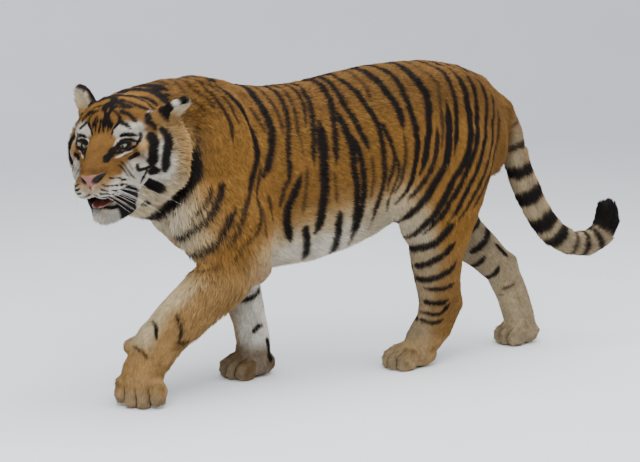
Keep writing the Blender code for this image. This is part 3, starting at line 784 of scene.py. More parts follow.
# ---------------- markings
class Chart(Enum):
    """How a stroke's two coordinates lie on the body, and from where it is laid on."""

    LEFT = "x and z, from the tiger's left"
    RIGHT = "x and z, from its right"
    INNER_RIGHT = "x and z, on the inner faces of the right legs"
    INNER_LEFT = "x and z, on the inner faces of the left legs"
    FACE = "y and z of the head, from in front"
    CROWN = "x and y of the head, from above"
    TEMPLE = "x and z of the head, from its left"
    TEMPLE_RIGHT = "x and z of the head, from its right"


@dataclass(frozen=True)
class Stroke:
    """A dark stroke in the coat, tapered at both ends."""

    SPREAD = 1.45                  # how much the locks' laid tips widen a stroke
    FIRST_TAPER = 0.10             # share of its length over which it widens
    LAST_TAPER = 0.14              # and over which it narrows again
    STEP = 0.45                    # between the places read along it, in cm
    LEAP = 0.04                    # a longer step is one where it leaves the skin

    chart: Chart
    width: float                   # in mm, at its widest
    points: tuple                  # pairs in cm
    dark: float = 1.0
    beads: int = 0                 # broken into so many dots, if not 0
    light: bool = False            # pale instead of dark

    def read(self, wander: float, phase: float) -> tuple[np.ndarray, np.ndarray]:
        """Reads the stroke finely.

        Args:
            wander: how far, in cm, it strays from its points.
            phase: turns that straying into another one.

        Returns:
            The chart's coordinates along it, and its half width at each.
        """
        corners = np.array(self.points, dtype=float)
        if wander:
            corners[:, 0] += wander * np.sin(corners[:, 1] * 0.21 + phase)
            corners[:, 1] += 0.6 * wander * np.cos(corners[:, 0] * 0.17 + phase)
        reach = np.linalg.norm(np.diff(corners, axis=0), axis=1).sum()
        count = max(8, int(reach / self.STEP), 6 * self.beads)
        along = np.linspace(0, 1, count)
        half = self.width * self.SPREAD / 2000 * np.clip(
            np.minimum(along / self.FIRST_TAPER, (1 - along) / self.LAST_TAPER), 0.2, 1) ** 0.6
        if self.beads:
            half *= np.clip(1.5 * np.abs(np.sin(math.pi * self.beads * along)) - 0.3, 0.01, 1)
        return spline(corners / 100, count), half


def strokes(chart: Chart, *rows: tuple, beads: int = 0, light: bool = False) -> list[Stroke]:
    """Makes strokes of one chart from rows of width in mm, darkness, and points in cm."""
    return [Stroke(chart, row[0], row[2:], row[1], beads, light) for row in rows]


def mirrored(rows: tuple) -> list[tuple]:
    """The same rows on the other side of the head."""
    return [(width, dark, *((-y, z) for y, z in points)) for width, dark, *points in rows]


def moved(rows: tuple, dx: float, dz: float) -> list[tuple]:
    """The same rows moved along the body and up, in cm."""
    return [(width, dark, *((x + dx, z + dz) for x, z in points)) for width, dark, *points in rows]


# Each row below is a stroke: its width in mm, how dark it is, and its points in cm.
# neck, shoulder and trunk, from front to back
FLANK = (
    (32, 1, (-67, 80), (-68, 76.5), (-67.4, 72.5), (-70, 68), (-73, 64), (-76, 60), (-80, 57)),
    (10, 0.8, (-66, 87), (-66.5, 82), (-67, 79)),
    (10, 1, (-63, 68), (-64.8, 63.5), (-67, 61), (-70, 58)),
    (12, 1, (-73, 60), (-75.5, 57), (-77.5, 54.5)),
    (17, 1, (-59, 70), (-60.5, 66), (-62.5, 61.7), (-65.5, 57.7), (-69.3, 54.7), (-72, 51.5),
     (-75, 48)),
    (18, 1, (-56, 61), (-58.5, 57), (-60.5, 53.5), (-61.5, 51.5), (-63.5, 49.3), (-66.5, 47.8),
     (-70, 46), (-71.5, 45)),
    (12, 0.9, (-48.6, 71), (-50, 65.5), (-51.5, 62.5), (-53.5, 59), (-55, 56), (-57, 52.5),
     (-58.5, 50)),
    (10, 0.85, (-50.5, 52), (-53.3, 50), (-55.5, 47), (-57.5, 44)),
    (8, 0.5, (-52, 47.5), (-53.2, 44), (-54.5, 41)),
    (14, 1, (-56.7, 99), (-55.5, 96.5), (-51.7, 92.5), (-49.7, 89), (-47.2, 84), (-46.1, 79.5),
     (-46.2, 75.5), (-47.6, 71.5), (-49, 67.5), (-50.5, 63.5)),
    (10, 0.9, (-60.7, 98), (-59.8, 95.5), (-58, 92), (-56.5, 88.5), (-55.8, 85.5), (-55.5, 81)),
    (9, 0.8, (-57.5, 96), (-55.3, 92.5), (-54, 89.5), (-52.5, 86.5)),
    (10, 0.75, (-64, 97), (-62, 95), (-60.5, 92)),
    (10, 0.75, (-67, 95), (-65, 93.5), (-63.5, 91)),
    (20, 1, (-44, 98.5), (-43.2, 96), (-41.9, 92.5), (-40.5, 88.5), (-39.8, 84.5), (-40.2, 81.5),
     (-40.8, 78.5), (-41.8, 75.5), (-43, 72.5), (-44.3, 70)),
    (8, 0.85, (-45.5, 91), (-44, 88), (-42.5, 85), (-42, 83)),
    (9, 0.9, (-45, 73), (-46, 69), (-47, 65), (-47.3, 61), (-47.5, 58), (-49, 54), (-50.5, 52)),
    (10, 0.8, (-47, 60), (-47.5, 58), (-48.2, 56)),
    (8, 0.75, (-46, 60.5), (-46.5, 57.5), (-46, 53.5), (-45.5, 51)),
    (9, 0.85, (-43, 64), (-42.5, 61), (-42.5, 58), (-41.5, 56)),
    (12, 0.9, (-36, 68.5), (-37.5, 65), (-38.5, 62), (-39, 60)),
    (13, 1, (-35, 97.5), (-33.5, 94.5), (-33, 91), (-33.2, 87.8), (-33.8, 84.2), (-34.7, 80),
     (-35, 76.3), (-35.2, 72.5), (-35.5, 69), (-36.5, 66)),
    (10, 0.85, (-38, 94), (-36.5, 90), (-35.8, 86), (-36, 83)),
    (20, 1, (-31, 70), (-33.7, 64.5), (-35.5, 61), (-36.3, 57.5), (-36, 54.5), (-34.7, 51),
     (-33.5, 48)),
    (9, 1, (-29, 97.5), (-26.8, 95), (-26.3, 92), (-26.9, 88.2), (-27.5, 84.5)),
    (13, 1, (-24.5, 96.5), (-24.1, 93), (-24.2, 90), (-24.6, 86.5), (-25.4, 82), (-26.2, 76.5),
     (-26.5, 72.5)),
    (6, 0.7, (-30.5, 83), (-30, 79), (-30, 75)),
    (26, 1, (-22.4, 86), (-22.5, 80.5), (-22.7, 76), (-22.9, 72), (-22.9, 67), (-23.3, 62),
     (-23.8, 58), (-24.2, 53.5), (-25.2, 50.5)),
    (16, 1, (-19.5, 99.5), (-17.5, 96.2), (-16.8, 93), (-17.1, 89.5), (-17.6, 85.5), (-17.8, 81),
     (-18.2, 76), (-18.4, 72.5)),
    (20, 1, (-29.2, 53.5), (-28.5, 50.5), (-27.7, 48.7), (-26.2, 44.5), (-25, 41)),
    (22, 1, (-17.1, 57), (-16.6, 52.5), (-15.9, 48.8), (-15, 45), (-13.5, 42)),
    (16, 1, (-16, 100.5), (-14.7, 98), (-13.4, 95.2), (-12.6, 91.5), (-11.3, 88.5), (-9.7, 85.5),
     (-8.4, 82), (-7, 79), (-6, 76)),
    (19, 1, (-15.5, 88.5), (-14.9, 86.5), (-13.7, 83), (-12.6, 79), (-12.2, 75), (-12, 71),
     (-11.2, 66), (-10.9, 61), (-10.8, 56.5), (-10.4, 53), (-9.7, 49), (-9, 45)),
    (17, 1, (-12.8, 82), (-11.5, 80), (-10, 76.5), (-9, 72.5), (-8.5, 68), (-8.3, 63),
     (-8.6, 58.5), (-8.7, 54), (-9.2, 50), (-9.5, 46.5)),
    (15, 1, (-11.5, 101), (-10.5, 98.5), (-8, 96.3), (-6.3, 93.5), (-4.8, 90.3), (-3, 86.8),
     (-1.5, 83.5), (-0.9, 78.5), (-0.5, 74), (-0.3, 70), (-0.7, 65.5), (-1.7, 61), (-2.6, 57.5),
     (-2.8, 53.5), (-3.2, 50)),
    (8, 0.8, (-5, 100.5), (-4.7, 99), (-3.2, 96.8), (-2.8, 94), (-2.5, 91.5)),
    (12, 1, (0, 84.5), (0.5, 83), (2.3, 78.5), (3.5, 74), (2.9, 70), (1.8, 66.5), (1, 62.5)),
    (9, 1, (4.5, 73.5), (5.3, 68.5), (4.3, 65), (3, 62), (2.2, 58.5), (2.5, 55.5)),
    (20, 1, (-2, 102), (0.7, 99), (2.2, 97.2), (3.9, 94), (6.2, 90), (7.2, 86.5), (7.5, 82.5)),
    (16, 1, (3, 103), (5.5, 101.3), (7.5, 100), (9, 97.5), (10, 93.8), (10.8, 90), (11.4, 86.5),
     (12.1, 83), (12.7, 78.5), (12.3, 74), (11.6, 69.5), (10.8, 65.5), (10, 62.5), (7.8, 60),
     (5.5, 57.5)),
    (19, 1, (11, 104), (13.5, 101.5), (15.2, 99), (16.5, 96), (17.7, 92.5), (18, 88.5),
     (17.7, 84.5), (17, 79.5), (16.2, 75), (15.3, 71), (14, 67)),
    (8, 0.8, (19, 101), (21.8, 97), (22, 94), (22.2, 89.5), (22.5, 85), (22.2, 80), (21.2, 75.5)),
    (18, 1, (24.2, 91), (24.9, 85), (24.2, 79.5), (23.6, 74.5), (22.1, 70), (19.8, 66),
     (17.9, 63), (15.8, 59.5), (13.2, 56), (10.5, 53), (7.5, 50)),
    (12, 1, (23.5, 102.5), (25.5, 100), (26.4, 96.5), (27.2, 93), (27.7, 88.8), (27.9, 85),
     (27.2, 81.5), (26.6, 77.5), (25.5, 73.5)),
    (18, 1, (29, 101), (30.5, 97.5), (31.8, 94), (32.4, 89), (32.9, 85), (32.3, 79), (31, 74),
     (28.9, 70), (26.6, 67), (24.4, 64), (22.7, 60.5), (20.4, 57), (18, 53), (15, 50),
     (11.8, 46.5), (9, 43.5)),
    (14, 1, (34, 100.5), (35.5, 96), (36, 91), (36.2, 86), (35.5, 80), (34, 74.5), (31.5, 70),
     (29, 65.5), (26.8, 62), (24, 58), (22, 54.5), (18.5, 50.5), (15, 47)),
    (13, 1, (39, 98.5), (40.3, 94), (40.8, 89), (40.2, 83), (38.5, 77), (36.5, 71.5),
     (33.8, 66.5), (31, 62), (28.5, 58), (26, 54), (23, 50.5)),
    (11, 0.95, (43.5, 95), (44.6, 90.5), (44.6, 85), (43.6, 79), (41.8, 73), (39, 67.5),
     (36, 62.5), (33, 58.5), (30, 54.5), (27, 51)),
    (10, 0.9, (47, 90), (47.8, 85), (47.2, 79), (45.2, 73), (42.5, 67.5), (39.5, 62.5), (36, 58),
     (33, 54.5)),
    (10, 0.9, (7.5, 81), (8, 77), (7.8, 72.5), (7, 68), (6, 64), (4, 60.5)),
    (12, 0.95, (20.5, 82), (20, 77), (18.8, 72), (17, 68), (15, 64.5), (12.5, 61), (10, 58.5)),
    (9, 0.9, (-30.8, 96), (-30, 92), (-30.3, 87), (-30.8, 82)),
    (9, 0.8, (-29, 72), (-29.5, 67), (-30.3, 62), (-30.6, 57)),
    (8, 0.8, (-19.2, 70), (-19, 65), (-18.4, 60)),
    (9, 0.8, (-5, 74), (-4.6, 69), (-5, 64), (-5.8, 59)),
)
# bands of the hind leg, each from the front edge to the back
HIND_BANDS = (
    (20, 1, (9.5, 39.5), (13.8, 42), (17.5, 43), (20.5, 45), (23.2, 48), (26, 50.5)),
    (17, 1, (10, 35), (14, 35.5), (17.8, 37), (21.5, 39), (24.5, 41.5), (26.8, 44)),
    (16, 1, (11, 30.5), (15, 31), (19, 31.2), (22.5, 32.2), (26, 34), (28, 36.5)),
    (11, 1, (18, 28), (22.5, 27.5), (25.5, 28), (28.5, 29)),
    (13, 1, (12, 25.5), (15.8, 24), (19.5, 22.8), (23.5, 22.5), (26.5, 23.5)),
    (11, 1, (19, 19), (22.5, 18.5), (25, 19.5), (27, 22)),
    (10, 0.95, (15, 17.5), (18.5, 16.5), (21.5, 15.5), (25, 16.5)),
)
RIGHT_HIND_BANDS = (
    (19, 1, (49, 35), (51.5, 36), (54.5, 38.5), (57.5, 42), (58.5, 44.5)),
    (15, 1, (48, 28), (50, 28.7), (52.5, 30), (54.5, 33)),
    (13, 1, (54.5, 23), (57, 24.5), (59, 26.5), (60, 29)),
    (12, 1, (59, 37), (61.5, 34.5), (64, 32)),
    (8, 0.8, (62, 20.5), (64.5, 21.5), (66.5, 22.5)),
    (6, 0.7, (58.5, 19.5), (60.5, 18.5), (63, 18)),
    (15, 1, (47, 42), (50, 43), (53, 45.5), (55, 48)),
)
FORE_MARKS = (
    (9, 1, (-75.5, 29), (-75, 26.5), (-74.5, 23.5), (-74.8, 21)),
    (9, 1, (-81.5, 27), (-81.6, 24), (-82, 21.5)),
    (9, 1, (-75.5, 20.5), (-73, 20), (-70.5, 20.5)),
    (8, 0.8, (-86.5, 18.5), (-85, 17), (-84.5, 15.5)),
    (9, 0.85, (-64, 25), (-61.5, 26.5), (-60, 27.5)),
    (9, 0.8, (-70, 40), (-65, 41.5), (-60, 43.5)),
)
RIGHT_FORE_BANDS = (
    (13, 1, (-42.5, 26), (-39.5, 26.3), (-36.5, 27.5), (-34.5, 29)),
    (11, 1, (-39, 15.5), (-37, 17), (-34.5, 17.5)),
    (9, 0.9, (-43, 35), (-39, 35.5), (-35, 37)),
    (16, 1, (-33.6, 13), (-33, 9), (-32.6, 5)),
    (7, 0.8, (-43.5, 15), (-43, 12), (-42.8, 9)),
)
# on the head, given for its left and mirrored to its right
FACE_PAIRS = (
    # brow
    (6, 1, (2, 9.8), (4, 8.9), (5.2, 7.4), (4.8, 6.1), (3.6, 4.9), (3.1, 2.6)),
    (12, 1, (4.4, 9.3), (6.4, 8.4), (8, 7), (9, 5.9)),
    (11, 1, (5.6, 6.7), (7, 5.7), (8.6, 4.6)),
    (9, 1, (5.7, 2.8), (7.2, 3.4), (8.4, 3.1), (9.8, 1.8)),
    (8, 1, (10.3, -0.3), (10.7, 1.2), (10.5, 2.8)),
    (18, 1, (11, 6.6), (12, 4.8), (12.9, 3.4), (13.4, 2.2)),
    # arcs over the forehead
    (9, 1, (2.6, 11.4), (5, 10.7), (7.3, 9.5), (9.3, 7.9), (11.3, 6.6)),
    (6.5, 1, (3, 12), (6, 11.2), (8.4, 10.2), (10.6, 8.8)),
    (6.5, 1, (1.2, 10.6), (3.4, 10.2), (5.6, 9.6)),
    (5.5, 1, (-2.8, 7.4), (-3.2, 6.2), (-2.9, 5)),
    (5, 1, (-1.4, 8), (-2, 6.2), (-2.1, 4.3)),
    (5, 1, (-0.4, 8), (-0.5, 6.2), (-0.9, 4.1)),
    (5, 1, (2, 8.4), (2.6, 7), (2.5, 5.6)),
    # rims of the eye, tear line, folds below
    (9, 1, (4.4, -0.6), (5.2, 0.8), (6.3, 1.6), (7.7, 1.6), (9, 1), (10.6, 0.4)),
    (8, 1, (4.6, -1), (5.8, -1.4), (7.2, -1.4), (8.8, -1), (10.6, -0.4)),
    (16, 1, (3.4, -2.3), (4.2, -1.2), (5, -0.2)),
    (4, 0.7, (6.8, -2.6), (8.8, -2.2), (10.6, -1.4)),
    (10, 1, (8.2, -3.8), (9.8, -3.1), (11.2, -2.6)),
    # cheek
    (8, 1, (14, -4.8), (12.9, -7.2), (12, -7.9), (11.6, -9.4), (10.6, -11.5)),
    (9, 1, (10.5, -5.6), (11, -7), (12.2, -7.6), (13.4, -7)),
    (17, 1, (12.2, -9.6), (13.5, -8.8), (14, -9.8)),
    (4, 0.9, (6.4, -3.8), (8, -6), (9, -7.4), (10, -9.6)),
    (4, 0.9, (6.1, -4.8), (7.4, -6.6), (8.4, -8.4)),
    (3, 0.8, (7.6, -3.8), (9.2, -5.7), (10.2, -7.2)),
    # lips, and painted shadow at the mouth's corner
    (5, 1, (0.6, -11.2), (2, -11.8), (4, -12.3), (6.2, -12.7)),
    # painted shadow: a wide black stroke at the mouth's corner, between upper lip and chin
    (44, 1, (7, -13.2), (6.9, -15.4), (6.2, -18.2), (5.4, -21.5)),
    (9, 1, (0, -17.3), (2.7, -17.5), (5.2, -17.4)),
)
FACE_BEADS = (
    (6.2, 1, (3.8, -8.2), (5.4, -8.9), (6.8, -9.7), (8, -11)),
    (6.2, 1, (3.4, -9.5), (5.2, -10.1), (6.6, -11.1), (7.8, -12.3)),
    (5.6, 1, (5, -7), (6.4, -7.9), (8, -9.4)),
    (5.4, 1, (3, -10.7), (4.8, -11.2), (6.6, -12.3)),
)
FACE_PALE = (
    (4, 0.85, (5.4, -2.5), (6.6, -2.3), (8.2, -1.5), (9.8, -0.9)),
    (6, 0.9, (4.4, 0.6), (5.4, 2.2), (6.8, 2.6)),
    (7, 0.6, (13.6, 0.8), (13.4, -2), (12.6, -5)),
    (9, 0.5, (15.6, -1), (15.6, -4), (15, -8)),
)
FACE_MIDDLE = (
    (10, 1, (1, 12), (1.8, 10.4), (1.6, 8.6), (1.3, 6.6)),
    (8, 1, (-0.8, 10.8), (0.6, 9), (1, 7.6), (1.2, 5.6)),
    (6.5, 1, (2.2, 9.8), (1.8, 8.6), (2.4, 7.2), (2.9, 5)),
)
TEMPLE_STROKES = (
    (25, 1, (-4.8, 1.4), (-4.3, 0), (-2.9, -2.7), (-2.3, -5.4), (-2, -6.6)),
    (31, 1, (-9.8, 1.8), (-9.3, -1.6), (-7.3, -4.1), (-6.2, -6.9), (-6.6, -10.4)),
    (25, 1, (-3.2, -12.2), (-4.6, -14.4), (-6.4, -16.6)),
)
CROWN_STROKES = (
    (30, 1, (-16, -7), (-17.9, -3.7), (-20.5, -0.5), (-22.3, 4), (-23.3, 8.3), (-22, 11.5)),
    (26, 1, (-21, -10), (-24, -5), (-26, 0), (-27, 5), (-27.5, 9)),
    (14, 1, (-11, -3), (-12.6, 1), (-14.5, 3.5), (-17, 6), (-17.8, 8), (-17.6, 10.5)),
    (12, 1, (-10, -1), (-11.5, 2.5), (-13.5, 5.5), (-15, 8), (-14.6, 11)),
    (11, 1, (-13.2, -14), (-11, -9.7), (-8.7, -5), (-8.2, -1.2)),
    (10, 1, (-8.2, 6), (-10, 8.9), (-12, 10.6), (-12, 13)),
    (11, 1, (-12, -12), (-15.5, -8), (-15.5, -3), (-13.5, 0)),
    (17, 1, (-3.3, -0.8), (-5.8, 0.8), (-6.9, 2.4), (-6.4, 5), (-7.2, 7)),
    (16, 1, (-7, 2), (-8.8, 0), (-9.6, -2.5), (-9, -5)),
    (14, 0.8, (-30, -9), (-31, -3), (-31, 4), (-30, 9)),
)
# black rings of the tail: distance from its root and thickness, in cm, and how dark
TAIL_RINGS = ((6, 1.8, 0.7), (14, 2.8, 0.9), (23, 4.6, 1), (33, 5.8, 1), (44.5, 6, 1), (53, 5.2, 1),
              (61, 1.8, 0.9), (66, 2.8, 1), (72, 3, 1), (85, 17, 1))


# the coat's colours
BLACK, BROWN, OCHRE, DEEP_OCHRE = "#120d0b", "#3d2916", "#7e5926", "#614522"
TAN, CREAM, WHITE, GREY, PALE = "#a68658", "#b5a481", "#d6d0c2", "#8d7d63", "#beb8ab"


@dataclass
class Ground:
    """The colours between the stripes, laid one over the other at places on the skin."""

    points: np.ndarray
    normals: np.ndarray

    def build(self) -> np.ndarray:
        """Lays the colours, part by part.

        Returns:
            One linear colour per place.
        """
        points = self.points
        self.colour = np.tile(linear(OCHRE), (len(points), 1))
        self._trunk()
        self._legs()
        self._tail()
        self._face()
        self._ears()
        # painted shade: brown laid round the right forepaw
        self.lay(BROWN, ramp(0.16, 0.10, np.linalg.norm(points - PAWS[1].place, axis=1)) * 0.7)
        self._paws()
        tone = 1 + 0.12 * grain(points, 0.035, 8) + 0.14 * grain(points, 0.014, 18) \
            + 0.12 * grain(points, 0.007, 9)
        return self.colour * tone[:, None]

    def lay(self, code: str, amount: np.ndarray) -> None:
        """Moves the colour so far towards another."""
        self.colour += (linear(code) - self.colour) * np.clip(amount, 0, 1)[:, None]

    @staticmethod
    def _blob(places: np.ndarray, centre: tuple, radii: tuple, soft: float = 0.35) -> np.ndarray:
        """1 inside an ellipsoid, falling to 0 outside it."""
        reach = np.linalg.norm((places - centre) / radii, axis=1)
        return ramp(1 + soft, 1 - soft, reach)

    def _trunk(self) -> None:
        """Deeper ochre along the back; cream and white on belly, throat and breast; painted shade
        towards the groin.
        """
        x, _, z = self.points.T
        wave = 0.014 * grain(self.points, 0.05, 5) + 0.008 * grain(self.points, 0.014, 6)
        self.lay(DEEP_OCHRE, 0.7 * ramp(0.80, 0.98, z) * ramp(-0.75, -0.5, x))
        self.lay(DEEP_OCHRE, 0.6 * ramp(0.30, 0.45, x) * ramp(0.35, 0.6, z))
        self.lay(DEEP_OCHRE, 0.7 * ramp(-0.60, -0.68, x) * ramp(-0.82, -0.74, x)
                 * ramp(0.70, 0.78, z))
        # the belly's edge rises towards the groin and the fold before the thigh
        edge = np.interp(x, (-0.55, -0.42, -0.3, -0.15, 0.0, 0.06, 0.12, 0.2),
                         (0.42, 0.47, 0.515, 0.555, 0.585, 0.615, 0.585, 0.48))
        above = z - edge + wave
        trunk = ramp(-0.55, -0.46, x) * ramp(0.22, 0.14, x)
        # painted shade under the belly towards the groin: less white, and grey laid in
        shaded_rear = ramp(-0.15, 0.02, x)
        self.lay(TAN, trunk * ramp(0.12, 0.0, above) * 0.7)
        self.lay(CREAM, trunk * ramp(0.055, -0.035, above))
        self.lay(WHITE, (0.8 - 0.5 * shaded_rear) * trunk * ramp(0.0, -0.08, above))
        self.lay(GREY, trunk * shaded_rear * ramp(0.03, -0.03, above) * 0.5)
        # throat and the front of the chest
        edge = np.interp(z, (0.40, 0.47, 0.52, 0.60, 0.70, 0.78),
                         (-0.71, -0.66, -0.64, -0.655, -0.69, -0.73))
        behind = x - edge + wave
        chest = ramp(0.80, 0.70, z) * ramp(0.36, 0.42, z)
        self.lay(TAN, chest * ramp(0.07, 0.0, behind) * 0.7)
        self.lay(CREAM, chest * ramp(0.02, -0.045, behind) * 0.85)
        self.lay(WHITE, chest * ramp(-0.03, -0.10, behind) * 0.4)

    def _legs(self) -> None:
        """Pale inner faces and shins, and darker hocks."""
        x, y, z = self.points.T
        leg = ramp(0.50, 0.40, z)
        inner = ramp(0.05, 0.55, self.normals[:, 1] * np.where(y < 0.03, 1.0, -1.0))
        self.lay(CREAM, ramp(0.62, 0.5, z) * inner * ramp(0.05, 0.12, x) * 0.8)
        behind = ramp(0.0, 0.1, x)
        self.lay(TAN, ramp(0.46, 0.36, z) * (1 - inner) * (0.6 - 0.45 * behind))
        self.lay(WHITE, leg * inner * ramp(-0.05, -0.15, x))
        self.lay(GREY, leg * inner * behind * 0.9)
        self.lay("#7d6d52", ramp(0.46, 0.38, z) * ramp(0.27, 0.17, x) * ramp(0.05, 0.09, x) * 0.8)
        self.lay(CREAM, ramp(0.42, 0.34, z) * ramp(-0.35, -0.75, self.normals[:, 0])
                 * ramp(-0.60, -0.68, x) * ramp(0.16, 0.22, z) * 0.95)
        self.lay(BROWN, ramp(0.44, 0.34, z) * ramp(0.20, 0.27, x) * ramp(0.42, 0.36, x) * 0.3)
        self.lay(OCHRE, leg * ramp(-0.405, -0.435, x) * ramp(-0.55, -0.50, x) * 0.6)
        hind_right = ramp(0.03, 0.06, y) * ramp(0.40, 0.50, x)
        self.lay(GREY, leg * hind_right * 0.9)
        self.lay(WHITE, ramp(0.30, 0.18, z) * hind_right * ramp(0.07, 0.13, z) * 0.35)
        self.lay(TAN, ramp(0.12, 0.08, z) * 0.5)

    def _tail(self) -> None:
        """A grey tail, creamy below and warm towards its root and its end."""
        x, y, z = self.points.T
        back = self.normals[:, 0]
        tail = ramp(0.575, 0.615, x) * ramp(0.86, 0.78, z) * ramp(0.09, 0.07, np.abs(y - TAIL_Y))
        self.lay(GREY, tail)
        self.lay(CREAM, tail * ramp(0.1, -0.7, back) * 0.45)
        self.lay(TAN, tail * ramp(0.2, 0.8, back) * ramp(0.42, 0.5, z) * 0.9)
        self.lay("#82684a", tail * ramp(0.58, 0.72, z) * ramp(-0.4, 0.5, back) * 0.8)

    def _face(self) -> None:
        """Colour fields of the head, as soft patches in its own frame."""
        head = HEAD.to_head(self.points)
        on = ramp(-0.26, -0.20, head[:, 0]) * ramp(0.33, 0.28, np.linalg.norm(head, axis=1))
        half = head * [1, 0, 1] + np.abs(head) * [0, 1, 0]
        half += 0.004 * grain(self.points, 0.012, 31)[:, None]
        patches = (
            ("#775427", (0.0, 0.0, -0.01), (0.20, 0.14, 0.125), 1.0),
            (DEEP_OCHRE, (0.06, 0.0, -0.02), (0.07, 0.03, 0.04), 0.25),
            (DEEP_OCHRE, (0.115, 0.0, -0.050), (0.045, 0.045, 0.022), 0.6),
            ("#8b6d43", (-0.14, 0.17, -0.07), (0.09, 0.09, 0.15), 1.0),
            (CREAM, (-0.09, 0.155, -0.08), (0.045, 0.04, 0.10), 0.6),
            (PALE, (-0.055, 0.145, -0.08), (0.055, 0.04, 0.075), 1.0),
            (PALE, (-0.03, 0.13, -0.05), (0.06, 0.025, 0.045), 0.5),
            (TAN, (-0.025, 0.125, 0.0), (0.035, 0.025, 0.035), 0.9),
            (OCHRE, (0.02, 0.090, -0.032), (0.035, 0.026, 0.022), 0.9),
            (PALE, (0.0, 0.068, 0.044), (0.045, 0.030, 0.024), 1.0),
            (PALE, (-0.025, 0.098, 0.030), (0.035, 0.024, 0.034), 0.9),
            (BLACK, (0.004, 0.0640, 0.0025), (0.030, 0.0245, 0.0155), 1.0),
            (PALE, (-0.10, 0.112, 0.074), (0.028, 0.012, 0.007), 0.8),
            (CREAM, (0.012, 0.074, -0.019), (0.030, 0.024, 0.005), 0.8),
            (PALE, (0.02, 0.100, -0.090), (0.050, 0.036, 0.052), 0.9),
            (PALE, (0.070, 0.062, -0.100), (0.060, 0.034, 0.024), 0.7),
            (PALE, (0.085, 0.045, -0.124), (0.070, 0.050, 0.030), 1.0),
            # painted shade under the jaw: its white fur laid grey
            ("#a7a298", (0.0, 0.06, -0.205), (0.12, 0.10, 0.055), 1.0),
            (CREAM, (-0.12, 0.08, -0.22), (0.14, 0.16, 0.09), 0.9),
            (TAN, (-0.20, 0.20, -0.08), (0.05, 0.07, 0.16), 0.6),
        )
        for code, centre, radii, strength in patches:
            self.lay(code, self._blob(half, centre, radii, 0.28) * strength * on)
        ruff = self._blob(half, (-0.08, 0.14, -0.07), (0.10, 0.07, 0.13)) * on
        self.lay(BROWN, ruff * ramp(0.15, 0.75, grain(self.points, 0.010, 34)) * 0.55)

    def _ears(self) -> None:
        """Cream inside the ears, black behind and along their inner edges, with a pale spot."""
        head, normals = HEAD.to_head(self.points), HEAD.turn_in(self.normals)
        for ear in EARS:
            local = ear.to_ear(head)
            x, y, z = local.T
            facing = ear.facing(normals)
            middle = -ear.side * y + 0.3 * (z - 0.05)
            on = ramp(0.012, 0.026, z) * ramp(0.125, 0.118, z) \
                * ramp(0.066, 0.060, np.abs(y)) * ramp(0.045, 0.035, np.abs(x))
            edge = 0.012 if ear.side > 0 else 0.041
            self.lay(TAN, on)
            self.lay(OCHRE, on * ramp(0.06, 0.03, z) * 0.6)
            self.lay(CREAM, on * ramp(-0.2, 0.2, facing) * ramp(0.015, 0.045, z) * 0.9)
            self.lay(WHITE, on * ramp(0.2, 0.6, facing) * ramp(0.04, 0.07, z) * 0.3)
            self.lay(BLACK, on * ramp(0.05, -0.15, facing))
            self.lay(BLACK, on * ramp(edge - 0.006, edge + 0.004, middle) * ramp(0.015, 0.028, z))
            self.lay(BLACK, on * ramp(0.092, 0.102, z + 0.3 * middle))
            spot = self._blob(local, (-0.024, 0.0, 0.062), (0.030, 0.016, 0.014))
            self.lay(WHITE, on * spot * ramp(0.0, -0.2, facing))
            crest = self._blob(local, (0.010, -ear.side * 0.024, 0.078), (0.03, 0.011, 0.012))
            self.lay(WHITE, on * crest * float(ear.side > 0))

    def _paws(self) -> None:
        """Painted shade in the clefts between the toes, and dark pads under the feet."""
        for paw in PAWS:
            local = paw.to_paw(self.points)
            x, y, z = local.T
            near = ramp(0.14, 0.10, np.abs(x)) * ramp(0.12, 0.10, np.abs(y)) \
                * ramp(0.09, 0.07, np.abs(z))
            ahead = ramp(0.14, 0.30, x / paw.length) * ramp(0.080, 0.055, z)
            self.lay(DEEP_OCHRE, near * ramp(-0.1, 0.6, grain(self.points, 0.020, 35)) * 0.5)
            self.lay(GREY, near * ramp(0.26, 0.44, x / paw.length) * 0.6)
            # painted shade: brown along the clefts between the toes
            for gap in CLEFTS:
                self.lay(BROWN, near * ahead * ramp(0.0065, 0.0018, paw.beside(local, gap)) * 0.9)
            self.lay("#3b312c", near * paw.pads(self.points, self.normals))


